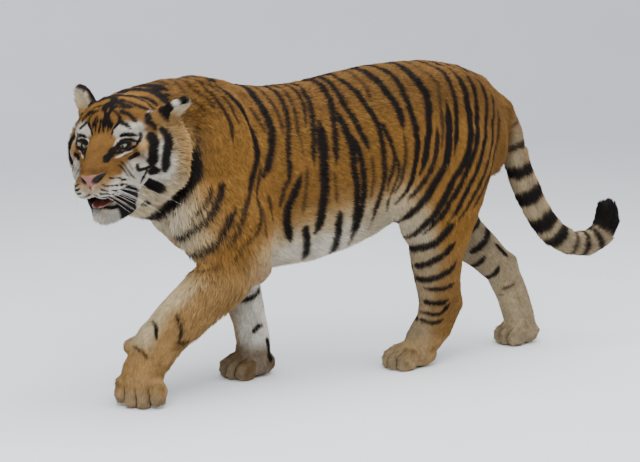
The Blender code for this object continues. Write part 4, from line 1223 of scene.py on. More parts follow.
@dataclass
class Markings:
    """The coat's colours, as one function of the place on the skin."""

    skin: Skin
    ridge: float = 0.93            # strokes that start higher run on to the spine
    run: int = 8                   # steps in a run of a stroke

    def __post_init__(self) -> None:
        """Lays every stroke on the skin."""
        self.tree = search_tree(self.skin.points, triangles(self.skin.object.data).tolist())
        self.laid, self.light = [], []
        self._lay(strokes(Chart.LEFT, *FLANK, *HIND_BANDS, *FORE_MARKS))
        self._lay(strokes(Chart.RIGHT, *FLANK), wander=0.9)
        self._lay(strokes(Chart.RIGHT, *moved(HIND_BANDS, 20, 4)), wander=0.7)
        self._lay(strokes(Chart.INNER_LEFT, *HIND_BANDS), wander=0.7)
        self._lay(strokes(Chart.INNER_RIGHT, *RIGHT_HIND_BANDS, *RIGHT_FORE_BANDS))
        self._lay(strokes(Chart.RIGHT, *RIGHT_HIND_BANDS, *RIGHT_FORE_BANDS), wander=0.8)
        self._lay(strokes(Chart.INNER_LEFT, *moved(RIGHT_FORE_BANDS, -27, 5)), wander=0.8)
        self._lay(strokes(Chart.FACE, *FACE_PAIRS, *mirrored(FACE_PAIRS), *FACE_MIDDLE))
        self._lay(strokes(Chart.TEMPLE, *TEMPLE_STROKES))
        self._lay(strokes(Chart.TEMPLE_RIGHT, *TEMPLE_STROKES))
        self._lay(strokes(Chart.FACE, *FACE_BEADS, *mirrored(FACE_BEADS), beads=7))
        self._lay(strokes(Chart.FACE, *FACE_PALE, *mirrored(FACE_PALE), light=True))
        self._lay(strokes(Chart.CROWN, *CROWN_STROKES))
        LOG.info("markings: %d runs of strokes laid", len(self.laid))

    def _ray(self, chart: Chart, a: float, b: float) -> Vector | None:
        """Drops a chart's point on the skin.

        Args:
            chart: which chart.
            a: its first coordinate.
            b: its second.

        Returns:
            The place on the skin, or None where the ray misses it.
        """
        turn = HEAD.matrix()
        if chart == Chart.LEFT:
            start, way = Vector((a, -1.0, b)), Vector((0, 1, 0))
        elif chart == Chart.RIGHT:
            start, way = Vector((a, 1.0, b)), Vector((0, -1, 0))
        elif chart == Chart.INNER_RIGHT:
            start, way = Vector((a, BETWEEN_LEGS_Y, b)), Vector((0, 1, 0))
        elif chart == Chart.INNER_LEFT:
            start, way = Vector((a, BETWEEN_LEGS_Y, b)), Vector((0, -1, 0))
        elif chart == Chart.FACE:
            start, way = turn @ Vector((0.5, a, b)), turn.to_3x3() @ Vector((-1, 0, 0))
        elif chart == Chart.CROWN:
            start, way = turn @ Vector((a, b, 0.5)), turn.to_3x3() @ Vector((0, 0, -1))
        else:
            side = 1 if chart == Chart.TEMPLE else -1
            start = turn @ Vector((a, side * 0.5, b))
            way = turn.to_3x3() @ Vector((0, -side, 0))
        return self.tree.ray_cast(start, way)[0]

    def _lay(self, rows: list, wander: float = 0.0) -> None:
        """Drops strokes on the skin, in short runs that are quick to search.

        Args:
            rows: the strokes.
            wander: how far, in cm, a copy strays from the stroke it repeats.
        """
        for stroke in rows:
            line, half = stroke.read(wander, len(self.laid) * 2.4)
            found = [(self._ray(stroke.chart, *pair), wide) for pair, wide in zip(line, half)]
            found = [(tuple(hit), wide) for hit, wide in found if hit is not None]
            if len(found) < 3:
                continue
            if stroke.chart in (Chart.LEFT, Chart.RIGHT) and found[0][0][2] > self.ridge:
                found = self._over_the_back(found) + found
            places, wide = np.array([f[0] for f in found]), np.array([f[1] for f in found])
            pile = self.light if stroke.light else self.laid
            for first in range(0, len(places) - 1, self.run):
                last = first + self.run + 1
                pile.append((places[first:last], wide[first:last], stroke.dark, wide.max()))

    def _over_the_back(self, found: list) -> list:
        """Leads a stroke up to the spine, where its fellow of the other side meets it.

        Args:
            found: the stroke's places on the skin and its half widths there.

        Returns:
            What comes before its first place, in the same form.
        """
        first, wide = np.array(found[0][0]), max(f[1] for f in found[:12])
        spine = np.array([first[0] - 0.022, MIDDLE_Y])
        led = []
        for t in np.linspace(0, 0.9, 6):
            x, y = spine + (first[:2] - spine) * t
            hit = self.tree.ray_cast(Vector((x, y, 2.0)), Vector((0, 0, -1)))[0]
            if hit is not None:
                led.append((tuple(hit), wide * (0.75 + 0.25 * t)))
        return led

    def _darkness(self, points: np.ndarray) -> np.ndarray:
        """How dark the strokes and tail rings make each point, from 0 to 1."""
        rough = 0.0016 * grain(points, 0.006, 3) + 0.0020 * grain(points, 0.018, 4)
        return np.maximum(self._cover(points, self.laid, rough), self._rings(points, rough))

    @staticmethod
    def _cover(points: np.ndarray, laid: list, rough: np.ndarray) -> np.ndarray:
        """Works out how far strokes cover each point.

        Args:
            points: places on the skin.
            laid: runs of strokes: places, half widths, strength, and the stroke's widest half.
            rough: how far the edges fray at each point.

        Returns:
            A share from 0 to 1 per point.
        """
        cover = np.zeros(len(points))
        order = np.argsort(points[:, 0], kind="stable")
        sorted_x = points[order, 0]
        for places, half, strength, widest in laid:
            pad = half.max() + 0.012
            low, high = places.min(axis=0) - pad, places.max(axis=0) + pad
            first, last = np.searchsorted(sorted_x, (low[0], high[0]))
            near = order[first:last]
            spot = points[near]
            within = ((spot[:, 1:] > low[1:]) & (spot[:, 1:] < high[1:])).all(axis=1)
            near, spot = near[within], spot[within]
            if not len(near):
                continue
            gap = np.full(len(near), 1.0)
            for k in range(len(places) - 1):
                start, step = places[k], places[k + 1] - places[k]
                size = step @ step
                if size > Stroke.LEAP ** 2:
                    continue
                t = np.clip((spot - start) @ step / max(size, 1e-12), 0, 1)
                away = np.linalg.norm(spot - start - t[:, None] * step, axis=1)
                gap = np.minimum(gap, away - (half[k] + (half[k + 1] - half[k]) * t))
            edge = 0.0010 + 0.08 * widest
            value = ramp(edge, -edge, gap + rough[near] * min(1.0, widest / 0.005)) * strength
            cover[near] = np.maximum(cover[near], value)
        return cover

    def _rings(self, points: np.ndarray, rough: np.ndarray) -> np.ndarray:
        """Works out the tail's rings by distance along its centre line.

        Args:
            points: places on the skin.
            rough: how far the edges fray at each point.

        Returns:
            A share from 0 to 1 per point.
        """
        steps = TAIL_LINE[2:] - TAIL_LINE[1:-1]
        sizes = np.linalg.norm(steps, axis=1)
        starts = np.concatenate([[0], np.cumsum(sizes)[:-1]])
        flat = points[:, (0, 2)]
        best, place = np.full(len(points), 9.0), np.zeros(len(points))
        for start, step, size, before in zip(TAIL_LINE[1:-1], steps, sizes, starts):
            t = np.clip((flat - start) @ step / size ** 2, 0, 1)
            away = np.linalg.norm(flat - start - t[:, None] * step, axis=1)
            nearer = away < best
            best[nearer] = away[nearer]
            place[nearer] = (before + t * size)[nearer]
        on_tail = ramp(0.075, 0.060, best) * ramp(0.56, 0.60, points[:, 0]) \
            * ramp(0.075, 0.065, np.abs(points[:, 1] - TAIL_Y))
        total = np.zeros(len(points))
        for middle, thick, strength in TAIL_RINGS:
            gap = np.abs(place - middle / 100) - thick / 200 + 2.2 * rough
            total = np.maximum(total, ramp(0.004, -0.004, gap) * strength)
        return total * on_tail

    def colour(self, points: np.ndarray, normals: np.ndarray) -> np.ndarray:
        """Linear colours of the coat at places on the skin.

        Args:
            points: places on the skin.
            normals: the skin's normals there.

        Returns:
            One row of red, green and blue per place.
        """
        ground = Ground(points, normals).build()
        light = self._cover(points, self.light, 0.0015 * grain(points, 0.006, 33))[:, None]
        ground = ground * (1 - light) + linear(WHITE) * light
        dark = self._darkness(points)[:, None]
        ink = linear(BROWN) * (1 - ramp(0.55, 0.95, dark)) \
            + linear(BLACK) * ramp(0.55, 0.95, dark)
        return ground * (1 - dark) + ink * dark

    def skin_colour(self) -> np.ndarray:
        """Works out the skin's own colours: the coat's, with bare lips, lids and nose, and painted
        shade in the nostrils.

        Returns:
            One linear colour per vertex.
        """
        skin = self.skin
        colour = self.colour(skin.points, skin.normals)
        # the nostrils' near black is painted shade inside the holes
        for name, amount in (("#0d0a09", skin.lid), ("#0d0a09", skin.eye_open),
                             ("#15100e", skin.lip), ("#2a0f0c", skin.mouth),
                             ("#80554b", skin.leather), ("#0a0707", skin.nostril),
                             ("#241814", 0.8 * skin.groove)):
            colour += (linear(name) - colour) * amount[:, None]
        return colour


# ---------------- materials
def add_node(tree: bpy.types.NodeTree, kind: str, settings: dict | None = None,
             links: dict | None = None) -> bpy.types.Node:
    """Adds a shader node.

    Args:
        tree: the material's node tree.
        kind: the node's type name.
        settings: values by attribute or input name.
        links: output sockets by input name.

    Returns:
        The node.
    """
    node = tree.nodes.new(kind)
    for key, value in (settings or {}).items():
        if key in node.inputs:
            node.inputs[key].default_value = value
        else:
            setattr(node, key, value)
    for key, socket in (links or {}).items():
        tree.links.new(socket, node.inputs[key])
    return node


def principled(name: str) -> tuple[bpy.types.Material, bpy.types.Node]:
    """Makes a named material and hands back its shader with it."""
    material = bpy.data.materials.new(name)
    material.use_nodes = True
    return material, material.node_tree.nodes["Principled BSDF"]


@dataclass(frozen=True)
class Finish:
    """A surface whose colour is stored at its vertices, with a fine relief."""

    name: str
    roughness: float
    relief: float               # height of the fine relief, in metres
    pitch: float                # its spacing, in metres
    mottle: float = 0.12        # how much the colour varies at that spacing
    wet: float = 0.0            # share of a clear film over it
    ior: float = 1.45
    specular: float = 0.5       # below 0.5 where hairs shade one another's gloss

    def make(self) -> bpy.types.Material:
        """Builds the material.

        Returns:
            The material, which reads the colours stored at the vertices.
        """
        material, shader = principled(self.name)
        tree = material.node_tree
        for name, value in (("Roughness", self.roughness), ("IOR", self.ior),
                            ("Specular IOR Level", self.specular), ("Coat Weight", self.wet),
                            ("Coat Roughness", 0.08)):
            shader.inputs[name].default_value = value
        colour = add_node(tree, "ShaderNodeVertexColor", {"layer_name": MARKING})
        place = add_node(tree, "ShaderNodeTexCoord")
        noise = add_node(tree, "ShaderNodeTexNoise", {"Scale": 1 / self.pitch, "Detail": 3.0},
                         {"Vector": place.outputs["Object"]})
        shade = add_node(tree, "ShaderNodeMapRange",
                         {"From Min": 0.25, "From Max": 0.75, "To Min": 1 - self.mottle,
                          "To Max": 1 + self.mottle}, {"Value": noise.outputs["Fac"]})
        mixed = add_node(tree, "ShaderNodeVectorMath", {"operation": "MULTIPLY"})
        tree.links.new(colour.outputs["Color"], mixed.inputs[0])
        tree.links.new(shade.outputs["Result"], mixed.inputs[1])
        tree.links.new(mixed.outputs["Vector"], shader.inputs["Base Color"])
        if self.relief:
            bump = add_node(tree, "ShaderNodeBump", {"Strength": 0.6, "Distance": self.relief},
                            {"Height": noise.outputs["Fac"]})
            tree.links.new(bump.outputs["Normal"], shader.inputs["Normal"])
        return material


class Finishes:
    """The substances of the model."""

    # Underfur: fine woolly hair seen between the locks, matt, in tufts 4 mm across.
    UNDERCOAT = Finish("dense winter underfur", 0.8, 0.0012, 0.004, 0.15, specular=0.15)
    # Guard hair: smooth keratin shafts of 0.1 mm, too fine to show singly and so drawn as locks
    # 2 to 3 mm wide. Neighbours shade most of their gloss, which keeps the stripes black.
    GUARD_HAIR = Finish("keratin guard hair", 0.66, 0.0, 0.012, 0.10, specular=0.18)
    # Cornea: clear and wet over an iris whose fibres lie 1.2 mm apart, with one sharp highlight.
    CORNEA = Finish("wet cornea over iris", 0.2, 0.0, 0.0012, 0.18, wet=0.7, ior=1.376)
    # Nose leather: hairless skin in cells 1.6 mm across, damp, with a broad soft shine.
    LEATHER = Finish("damp pebbled nose leather", 0.55, 0.0006, 0.0016, wet=0.06, specular=0.3)
    # Tongue: wet, rough with papillae 1.8 mm apart.
    TONGUE = Finish("wet papillate tongue", 0.38, 0.0008, 0.0018, 0.16, wet=0.5)
    # Whiskers: solid keratin, 0.9 mm thick at the root, smooth and pale.
    WHISKER = Finish("stiff white keratin", 0.35, 0.0, 0.01, 0.05)


# ---------------- the coat
@dataclass
class Coat:
    """Locks of guard hair over the whole skin, laid along the lie of the coat."""

    skin: Skin
    markings: Markings
    cover: float = 2.6          # how many locks lie over each place
    lowest_root: float = 0.004  # no hair is rooted lower than this over the floor
    lowest_hair: float = 0.0006
    piece_limit: int = 62000    # locks in one piece of the coat
    patch: float = 0.003        # width of a lock's patch on the unwrap
    root_shade: float = 0.62    # how dark a lock's root is in the shade of its neighbours
    # painted light: how much lighter a lock's tip is painted
    tip_light: float = 1.14

    def build(self) -> list:
        """Scatters, combs, shapes and colours the locks.

        Returns:
            The coat's objects.
        """
        rng = np.random.default_rng(SEED)
        self._scatter(rng)
        self._comb(rng)
        self._shape(rng)
        return self._pieces()

    def _expected(self, faces: np.ndarray) -> np.ndarray:
        """Works out how many locks each of the skin's triangles carries.

        Args:
            faces: the triangles.

        Returns:
            One number per triangle, 0 where the skin is bare.
        """
        skin, points = self.skin, self.skin.points
        corner = points[faces]
        area = 0.5 * np.linalg.norm(np.cross(corner[:, 1] - corner[:, 0],
                                             corner[:, 2] - corner[:, 0]), axis=1)
        bare = np.clip(skin.eye_open + skin.lid * 1.2 + skin.mouth + skin.leather * 1.5
                       + skin.nostril + skin.groove * 0.5 + 0.6 * skin.lip, 0, 1)
        for paw in PAWS:
            bare = np.maximum(bare, paw.pads(points, skin.normals))
        keep = (bare < 0.5) & (points[:, 2] > self.lowest_root)
        density = self.cover / (0.5 * skin.width * skin.length) * keep
        return area * density[faces].min(axis=1)

    def _scatter(self, rng: np.random.Generator) -> None:
        """Roots the locks at random places, evenly by the number expected there.

        Args:
            rng: where chance comes from.
        """
        skin = self.skin
        faces = triangles(skin.object.data)
        order = np.argsort(skin.zone[faces[:, 0]], kind="stable")
        grown = np.cumsum(self._expected(faces)[order])
        count = int(grown[-1])
        picks = (np.arange(count) + rng.random(count)) * (grown[-1] / count)
        face = faces[order[np.minimum(np.searchsorted(grown, picks), len(order) - 1)]]
        a, b = rng.random((2, count))
        over = a + b > 1
        a[over], b[over] = 1 - a[over], 1 - b[over]
        weight = np.stack([1 - a - b, a, b], axis=1)[:, :, None]

        def read(values: np.ndarray) -> np.ndarray:
            """The skin's values at the roots."""
            return (values[face].reshape(count, 3, -1) * weight).sum(axis=1)

        self.roots, self.normals = read(skin.points), unit(read(skin.normals))
        self.lie = unit(read(skin.lie))
        self.size = read(np.stack([skin.depth, skin.length, skin.width, skin.long], axis=1))
        self.zone = skin.zone[face[:, 0]]
        LOG.info("coat: %d locks", count)

    def _comb(self, rng: np.random.Generator) -> None:
        """Lays each lock along the skin, a little astray.

        Args:
            rng: where chance comes from.
        """
        along = self.lie - self.normals * (self.lie * self.normals).sum(axis=1, keepdims=True)
        weak = np.linalg.norm(along, axis=1) < 0.12
        spare = np.cross(self.normals, np.array([0.0, 1.0, 0.0]))
        along[weak] += spare[weak] * 0.3
        along = unit(along)
        across = np.cross(self.normals, along)
        stray = 0.20 * grain(self.roots, 0.045, 11) + 0.16 * grain(self.roots, 0.012, 12) \
            + 0.14 * rng.standard_normal(len(along))
        self.along = along * np.cos(stray)[:, None] + across * np.sin(stray)[:, None]
        self.across = np.cross(self.normals, self.along)

    def _shape(self, rng: np.random.Generator) -> None:
        """Works out root, ridge and tip of every lock, and their colours.

        Args:
            rng: where chance comes from.
        """
        depth, length, width, long = self.size.T
        count = len(depth)
        length = length * (1 + 0.22 * rng.standard_normal(count).clip(-1.6, 1.6))
        lift = depth * (0.80 + 0.42 * rng.random(count)) * (1 + 0.15 * long)
        clump = 1 + 0.25 * grain(self.roots, 0.02, 14)
        lift = np.minimum(lift * clump, 0.75 * length)
        run = np.sqrt(np.maximum(length ** 2 - lift ** 2, 1e-8))
        half = (0.5 * width * (0.85 + 0.3 * rng.random(count)))[:, None]
        foot = self.roots - self.normals * 0.0012
        left, right = foot - self.across * half, foot + self.across * half
        ridge = self.roots + self.along * (0.42 * run)[:, None] \
            + self.normals * (0.66 * lift + 0.12 * width)[:, None]
        bend = self.across * (0.10 * length * rng.standard_normal(count).clip(-2, 2))[:, None]
        tip = self.roots + self.along * run[:, None] + self.normals * lift[:, None] + bend
        tip[:, 2] -= 0.18 * length * long      # long hair hangs
        self.locks = np.stack([left, right, ridge, tip], axis=1)
        self.locks[:, :, 2] = np.maximum(self.locks[:, :, 2], self.lowest_hair)
        tint = (1 + 0.14 * rng.standard_normal(count).clip(-2, 2))[:, None]
        start = self.roots + self.along * (0.0022 * rng.standard_normal(count))[:, None]
        foot, middle, end = (
            np.clip(self.markings.colour(start + self.along * (share * run)[:, None], self.normals)
                    * tint, 0.001, 1) for share in (0.15, 0.5, 0.92))
        # painted shade at each lock's root and painted light at its tip
        foot *= self.root_shade
        self.colours = np.stack([foot, foot, middle, self.tip_light * end], axis=1)

    def _unwrap(self, roots: np.ndarray, zone: int) -> np.ndarray:
        """Unrolls a zone of the skin on to the unit square.

        The head opens out around its forward axis, the tail and the legs unroll about their
        centre lines, and the trunk unrolls about the spine.

        Args:
            roots: where the locks are rooted.
            zone: the number of their zone.

        Returns:
            One row of u and v per lock.
        """
        kind = ZONES[zone]
        if kind in (Zone.HEAD, Zone.NOSE, Zone.EAR):
            head = HEAD.to_head(roots) - [-0.08, 0, -0.03]
            polar = np.arccos(np.clip(unit(head)[:, 0], -1, 1)) / math.pi
            turn = np.arctan2(head[:, 2], head[:, 1])
            return 0.5 + 0.48 * np.stack([polar * np.cos(turn), polar * np.sin(turn)], axis=1)
        if kind == Zone.TAIL:
            along = roots[:, 0] - roots[:, 2]
            line = np.interp(roots[:, 0], TAIL_LINE[:, 0], TAIL_LINE[:, 1])
            angle = np.arctan2(roots[:, 1] - TAIL_Y, roots[:, 2] - line)
        elif kind in (Zone.NECK, Zone.CHEST, Zone.BELLY, Zone.RUMP, Zone.SHOULDER, Zone.THIGH):
            along = roots[:, 0]
            angle = np.arctan2(roots[:, 1] - MIDDLE_Y, roots[:, 2] - 0.72)
        else:
            along = roots[:, 2]
            slope = np.polyfit(roots[:, 2], roots[:, :2], 1)
            offset = roots[:, :2] - (slope[0] * roots[:, 2:3] + slope[1])
            angle = np.arctan2(offset[:, 1], offset[:, 0])
        span = (along - along.min()) / max(np.ptp(along), 1e-6)
        return np.stack([0.02 + 0.96 * span, 0.5 + 0.48 * angle / math.pi], axis=1)

    def _pieces(self) -> list:
        """Cuts the coat into pieces below the triangle limit, one finish for all.

        Returns:
            The pieces.
        """
        material = Finishes.GUARD_HAIR.make()
        groups = {
            "head": (Zone.HEAD, Zone.NOSE), "ears": (Zone.EAR,), "neck": (Zone.NECK,),
            "chest": (Zone.CHEST,), "belly": (Zone.BELLY,), "rump": (Zone.RUMP,),
            "shoulders": (Zone.SHOULDER,), "thighs": (Zone.THIGH,),
            "foreleg_left": (Zone.FOREARM_LEFT, Zone.FOREPAW_LEFT),
            "foreleg_right": (Zone.FOREARM_RIGHT, Zone.FOREPAW_RIGHT),
            "hindleg_left": (Zone.SHANK_LEFT, Zone.FOOT_LEFT),
            "hindleg_right": (Zone.SHANK_RIGHT, Zone.FOOT_RIGHT), "tail": (Zone.TAIL,),
        }
        made = []
        pattern = np.array([(0, 1, 2), (0, 2, 3), (1, 3, 2)])
        for name, zones in groups.items():
            numbers = [ZONES.index(zone) for zone in zones]
            chosen = np.nonzero(np.isin(self.zone, numbers))[0]
            parts = max(1, math.ceil(len(chosen) / self.piece_limit))
            chosen = chosen[np.argsort(self.roots[chosen, 1], kind="stable")]
            for index, share in enumerate(np.array_split(chosen, parts)):
                label = f"coat_{name}" if parts == 1 else f"coat_{name}_{index + 1}"
                faces = (np.arange(len(share))[:, None, None] * 4 + pattern).reshape(-1, 3)
                piece = mesh_object(label, self.locks[share].reshape(-1, 3), faces)
                paint(piece, self.colours[share].reshape(-1, 3), material)
                centre = self._unwrap(self.roots[share], numbers[0])
                step = self.patch / 2 * np.array([(-1, -1), (1, -1), (0, 0), (0, 1)])
                corners = (centre[:, None, :] + step[None]).reshape(-1, 2)
                layer = piece.data.uv_layers.new(name="OFBake")
                layer.data.foreach_set("uv", corners[faces.ravel()].astype(np.float32).ravel())
                made.append(piece)
        return made


# ---------------- eyes, nose, mouth
@dataclass
class Eye:
    """An eyeball with a pale iris, a round pupil and a bulging cornea."""

    side: str
    rings: int = 72
    spokes: int = 96
    pupil: float = 13.0          # half angles in degrees, from the gaze
    iris: float = 45.0
    bulge: float = 0.0012
    # the iris's own grey green, darkened with painted shade of the brow
    green: str = "#6d7257"
    gold: str = "#5c512c"        # round the pupil
    white: str = "#33251c"       # the white of a tiger's half shut eye, painted brown with the lids' shade
    rim: str = "#14100c"
    hole: str = "#040303"

    def build(self) -> bpy.types.Object:
        """Makes the eyeball where the model's eye node is.

        Returns:
            The eyeball.
        """
        centre = EYE_CENTRES[self.side]
        sign = 1 if self.side == "left" else -1
        gaze = unit(np.array([[1.0, 0.10 * sign + 0.05, -0.05]]))[0]
        polar = np.radians(np.linspace(0.5, 179.5, self.rings))
        turn = np.linspace(0, 2 * math.pi, self.spokes, endpoint=False)
        a, b = np.meshgrid(polar, turn, indexing="ij")
        wide = np.degrees(a)
        radius = EYE_RADIUS - 0.0004 + self.bulge * ramp(self.iris + 4, 0, wide)
        side = unit(np.cross([[0.0, 0.0, 1.0]], gaze[None]))[0]
        upward = np.cross(gaze, side)
        local = (np.cos(a)[..., None] * gaze + (np.sin(a) * np.cos(b))[..., None] * side
                 + (np.sin(a) * np.sin(b))[..., None] * upward) * radius[..., None]
        points = HEAD.to_model((centre + local).reshape(-1, 3))
        faces = ring_faces(self.rings, self.spokes)[:, ::-1]
        eye = mesh_object(f"eyeball_{self.side}", points, faces)
        paint(eye, self._colour(wide.ravel(), b.ravel()), Finishes.CORNEA.make())
        return eye

    def _colour(self, wide: np.ndarray, turn: np.ndarray) -> np.ndarray:
        """Draws the pupil, a streaked iris with a dark rim, and a white painted brown with shade.

        Args:
            wide: angles from the gaze, in degrees.
            turn: angles round it, in radians.

        Returns:
            One linear colour per place.
        """
        streak = 0.5 + 0.5 * np.sin(turn * 31 + 2.2 * np.sin(turn * 7))
        colour = np.outer(1 - 0.22 * streak, linear(self.green))
        for name, amount in (
                (self.gold, 0.7 * ramp(self.pupil + 9, self.pupil, wide)),
                (self.white, ramp(self.iris - 1, self.iris + 3, wide)),
                (self.rim, 0.9 * ramp(4.5, 1.0, np.abs(wide - self.iris + 1))),
                (self.hole, ramp(self.pupil + 1, self.pupil - 1, wide))):
            colour += (linear(name) - colour) * amount[:, None]
        return colour


@dataclass
class Tongue:
    """The tongue's front half, hollowed along its middle, behind the lower teeth's place."""

    length: float = 0.104
    width: float = 0.060
    thick: float = 0.015
    rings: int = 48
    around: int = 48
    red: str = "#5c2b21"

    def build(self) -> bpy.types.Object:
        """Makes the tongue in the head's frame.

        Returns:
            The tongue.
        """
        u, v = np.meshgrid(np.linspace(0, 1, self.rings),
                           np.linspace(0, 2 * math.pi, self.around, endpoint=False), indexing="ij")
        round_tip = 1 - np.clip((u - 0.45) / 0.55, 0, 1) ** 2.6
        wide = self.width / 2 * np.sqrt(np.clip(round_tip, 0.0004, 1))
        x = 0.014 + self.length * u
        y = wide * np.cos(v)
        z = -0.149 - 0.010 * u + self.thick / 2 * np.sin(v) * np.sqrt(wide / (self.width / 2))
        z -= 0.0035 * np.exp(-(y / 0.006) ** 2) * (np.sin(v) > 0)      # the middle's hollow
        points = HEAD.to_model(np.stack([x, y, z], axis=-1).reshape(-1, 3))
        tongue = mesh_object("tongue_surface", points, ring_faces(self.rings, self.around))
        paint(tongue, np.outer(1 + 0.15 * grain(points, 0.003, 21), linear(self.red)),
              Finishes.TONGUE.make())
        return tongue


@dataclass
class Whiskers:
    """Stiff white hairs in rows on both whisker pads and over the eyes."""

    sides: int = 5
    steps: int = 9
    root: float = 0.00045               # radius at the skin
    rows: tuple = (2, 3, 4, 3)          # whiskers in each row of a pad, from the top
    brow: int = 3                       # whiskers over each eye
    white: str = "#dcd8cf"

    def build(self, skin: Skin) -> bpy.types.Object:
        """Roots each whisker on the skin and bows it back and down.

        Args:
            skin: the finished skin.

        Returns:
            All whiskers as one object.
        """
        tree = search_tree(skin.head, [face.vertices for face in skin.object.data.polygons])
        points, faces = [], []
        for (y, z), way, length in self._places():
            hit = tree.ray_cast(Vector((0.5, y, z)), Vector((-1, 0, 0)))[0]
            if hit is None:
                continue
            t = np.linspace(0, 1, self.steps)[:, None]
            line = np.array(hit) + unit(np.array([way])) * t * length \
                + np.array([[-0.45, 0, -0.55]]) * length * t ** 2
            faces.append(ring_faces(self.steps, self.sides, len(faces) * self.steps * self.sides))
            points.append(self._tube(line))
        piece = mesh_object("whiskers", HEAD.to_model(np.vstack(points)), np.vstack(faces))
        paint(piece, np.tile(linear(self.white), (len(piece.data.vertices), 1)),
              Finishes.WHISKER.make())
        return piece

    def _places(self) -> list[tuple]:
        """Lists the whiskers.

        Returns:
            For each its root's y and z on the head, its direction and its length.
        """
        rng = np.random.default_rng(SEED + 1)
        places = []
        for side in (1, -1):
            for row, count in enumerate(self.rows):
                for k in range(count):
                    y = side * (0.038 + 0.013 * k + 0.004 * rng.random())
                    z = -0.086 - 0.0095 * row - 0.004 * k - 0.002 * rng.random()
                    way = (-0.35 - 0.16 * k, side * (0.75 + 0.2 * rng.random()),
                           -0.05 - 0.16 * row - 0.2 * rng.random())
                    places.append(((y, z), way, 0.055 + 0.018 * k + 0.055 * rng.random()))
            for k in range(self.brow):
                places.append(((side * (0.060 + 0.008 * k), 0.034), (0.1, side * 0.5, 0.9),
                               0.045 + 0.01 * k))
        return places

    def _tube(self, line: np.ndarray) -> np.ndarray:
        """Makes the rings of one tapered tube along a line.

        Args:
            line: one row per ring.

        Returns:
            The rings' points, one after the other.
        """
        ways = unit(np.gradient(line, axis=0))
        side = unit(np.cross(ways, [[0.3, 0.1, 1.0]]))
        upward = np.cross(side, ways)
        turn = np.linspace(0, 2 * math.pi, self.sides, endpoint=False)
        radius = self.root * np.linspace(1, 0.18, len(line)) ** 0.8
        ring = (np.cos(turn)[None, :, None] * side[:, None] + np.sin(turn)[None, :, None]
                * upward[:, None]) * radius[:, None, None]
        return (line[:, None] + ring).reshape(-1, 3)


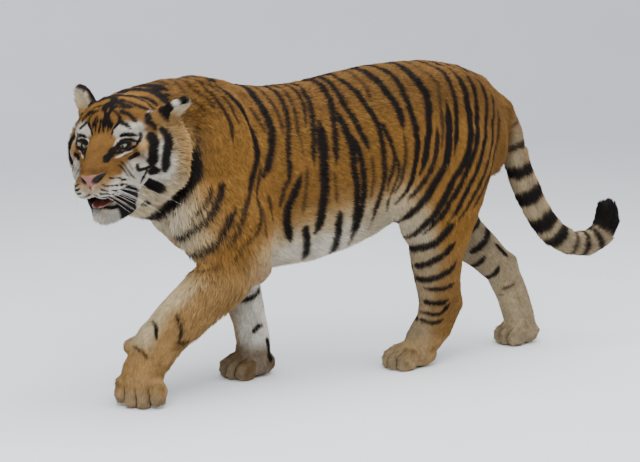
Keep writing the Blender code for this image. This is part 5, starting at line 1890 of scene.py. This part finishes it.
# ---------------- the studio
@dataclass
class Studio:
    """A plain pale floor, soft light and the camera."""

    target: tuple[float, float, float] = (-0.1467, 0.0334, 0.48)
    distance: float = 6.0
    yaw: float = 28.0
    elevation: float = 9.0
    lens: float = 101.25          # in mm, as is the sensor's width
    sensor: float = 36.0
    lamps: tuple = (              # name, place, size in m and power in W
        ("key", (-2.4, -3.2, 3.4), 3.0, 185),
        ("top", (0.2, -0.2, 4.2), 4.0, 190),
        ("fill", (3.2, -2.6, 2.0), 3.0, 50),
    )

    def build(self) -> None:
        """Sets up floor, world, lights and camera."""
        self._floor()
        self._world()
        for lamp in self.lamps:
            self._light(*lamp)
        turn, height = math.radians(self.yaw), math.radians(self.elevation)
        away = Vector((-math.sin(turn) * math.cos(height), -math.cos(turn) * math.cos(height),
                       math.sin(height)))
        camera = bpy.data.cameras.new("camera")
        camera.lens = self.lens
        camera.sensor_width = self.sensor
        holder = bpy.data.objects.new("camera", camera)
        holder.location = Vector(self.target) + away * self.distance
        holder.rotation_euler = (-away).to_track_quat("-Z", "Y").to_euler()
        bpy.context.scene.collection.objects.link(holder)
        bpy.context.scene.camera = holder

    @staticmethod
    def _floor() -> None:
        """A wide matt floor that turns up far behind."""
        bend = np.linspace(0, math.pi / 2, 24)
        profile = [(-8.0, 0.0)] + [(6 + 3 * math.sin(t), 3 - 3 * math.cos(t)) for t in bend] \
            + [(9.0, 9.0)]
        points = np.array([(x, y, z) for y, z in profile for x in (-14.0, 14.0)])
        faces = np.array([(2 * k, 2 * k + 1, 2 * k + 3, 2 * k + 2)
                          for k in range(len(profile) - 1)])
        floor = mesh_object("floor", points, faces)
        # Paint rolled on board: matt, and cloudy over some 70 cm.
        material, shader = principled("matt painted studio floor")
        tree = material.node_tree
        place = add_node(tree, "ShaderNodeTexCoord")
        noise = add_node(tree, "ShaderNodeTexNoise", {"Scale": 1.5},
                         {"Vector": place.outputs["Object"]})
        blend = add_node(tree, "ShaderNodeMix", {"data_type": "RGBA"},
                        {"Factor": noise.outputs["Fac"]})
        blend.inputs[6].default_value = (*linear("#eceef2"), 1)
        blend.inputs[7].default_value = (*linear("#f4f5f8"), 1)
        tree.links.new(blend.outputs[2], shader.inputs["Base Color"])
        shader.inputs["Roughness"].default_value = 0.9
        floor.data.materials.append(material)

    @staticmethod
    def _world() -> None:
        """Pale surroundings."""
        world = bpy.data.worlds.new("studio")
        bpy.context.scene.world = world
        world.use_nodes = True
        world.node_tree.nodes["Background"].inputs["Color"].default_value = (0.92, 0.95, 1.0, 1)
        world.node_tree.nodes["Background"].inputs["Strength"].default_value = 0.9

    def _light(self, name: str, place: tuple, size: float, power: float) -> None:
        """Hangs a square soft light, aimed at the model.

        Args:
            name: its name.
            place: where it hangs.
            size: length of its side, in metres.
            power: in watts.
        """
        lamp = bpy.data.lights.new(name, "AREA")
        lamp.size = size
        lamp.energy = power
        holder = bpy.data.objects.new(name, lamp)
        holder.location = place
        aim = Vector(self.target) - Vector(place)
        holder.rotation_euler = aim.to_track_quat("-Z", "Y").to_euler()
        bpy.context.scene.collection.objects.link(holder)


def dress(skin: Skin, markings: Markings) -> None:
    """Paints the skin and lays the nose leather over it.

    Args:
        skin: the finished skin.
        markings: the coat's colours.
    """
    piece = skin.object
    colours = markings.skin_colour()
    paint(piece, colours, Finishes.UNDERCOAT.make())
    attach(piece, BODY)
    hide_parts(*[name for zone in ZONES if zone != Zone.NOSE for name in zone.value])
    report(piece)
    leather = nose_leather(skin, colours)
    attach(leather, BODY)
    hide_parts(*Zone.NOSE.value)
    report(leather)


def nose_leather(skin: Skin, colours: np.ndarray) -> bpy.types.Object:
    """Makes the bare leather: a thin shell over the nose whose rim dips into the skin.

    Args:
        skin: the finished skin.
        colours: the skin's colours, one row per vertex.

    Returns:
        The leather's object.
    """
    bare = np.maximum(skin.leather, skin.nostril)
    corners = triangles(skin.object.data)
    used, faces = np.unique(corners[(bare[corners] > 0.15).all(axis=1)], return_inverse=True)
    rise = LEATHER_RISE * ramp(0.2, 0.7, bare[used]) - LEATHER_RISE / 2
    shell = mesh_object("nose_leather_surface",
                        skin.points[used] + skin.normals[used] * rise[:, None],
                        faces.reshape(-1, 3))
    paint(shell, colours[used], Finishes.LEATHER.make())
    return shell


def report(piece: bpy.types.Object) -> None:
    """Logs a finished piece."""
    LOG.info("%s: %d faces", piece.name, len(piece.data.polygons))


def main() -> None:
    """Builds every sub-assembly in order."""
    logging.basicConfig(level=logging.INFO, format="%(name)s: %(message)s")
    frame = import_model()
    skin = Skin(frame["nodes"])
    skin.build()
    markings = Markings(skin)
    dress(skin, markings)
    for piece in Coat(skin, markings).build():
        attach(piece, BODY)
        report(piece)
    for side in ("left", "right"):
        eye = Eye(side).build()
        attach(eye, BODY)
        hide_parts(f"eye_{side}")
        report(eye)
    tongue = Tongue().build()
    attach(tongue, BODY)
    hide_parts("tongue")
    report(tongue)
    whiskers = Whiskers().build(skin)
    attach(whiskers, BODY)
    report(whiskers)
    Studio().build()


if __name__ == "__main__":
    main()
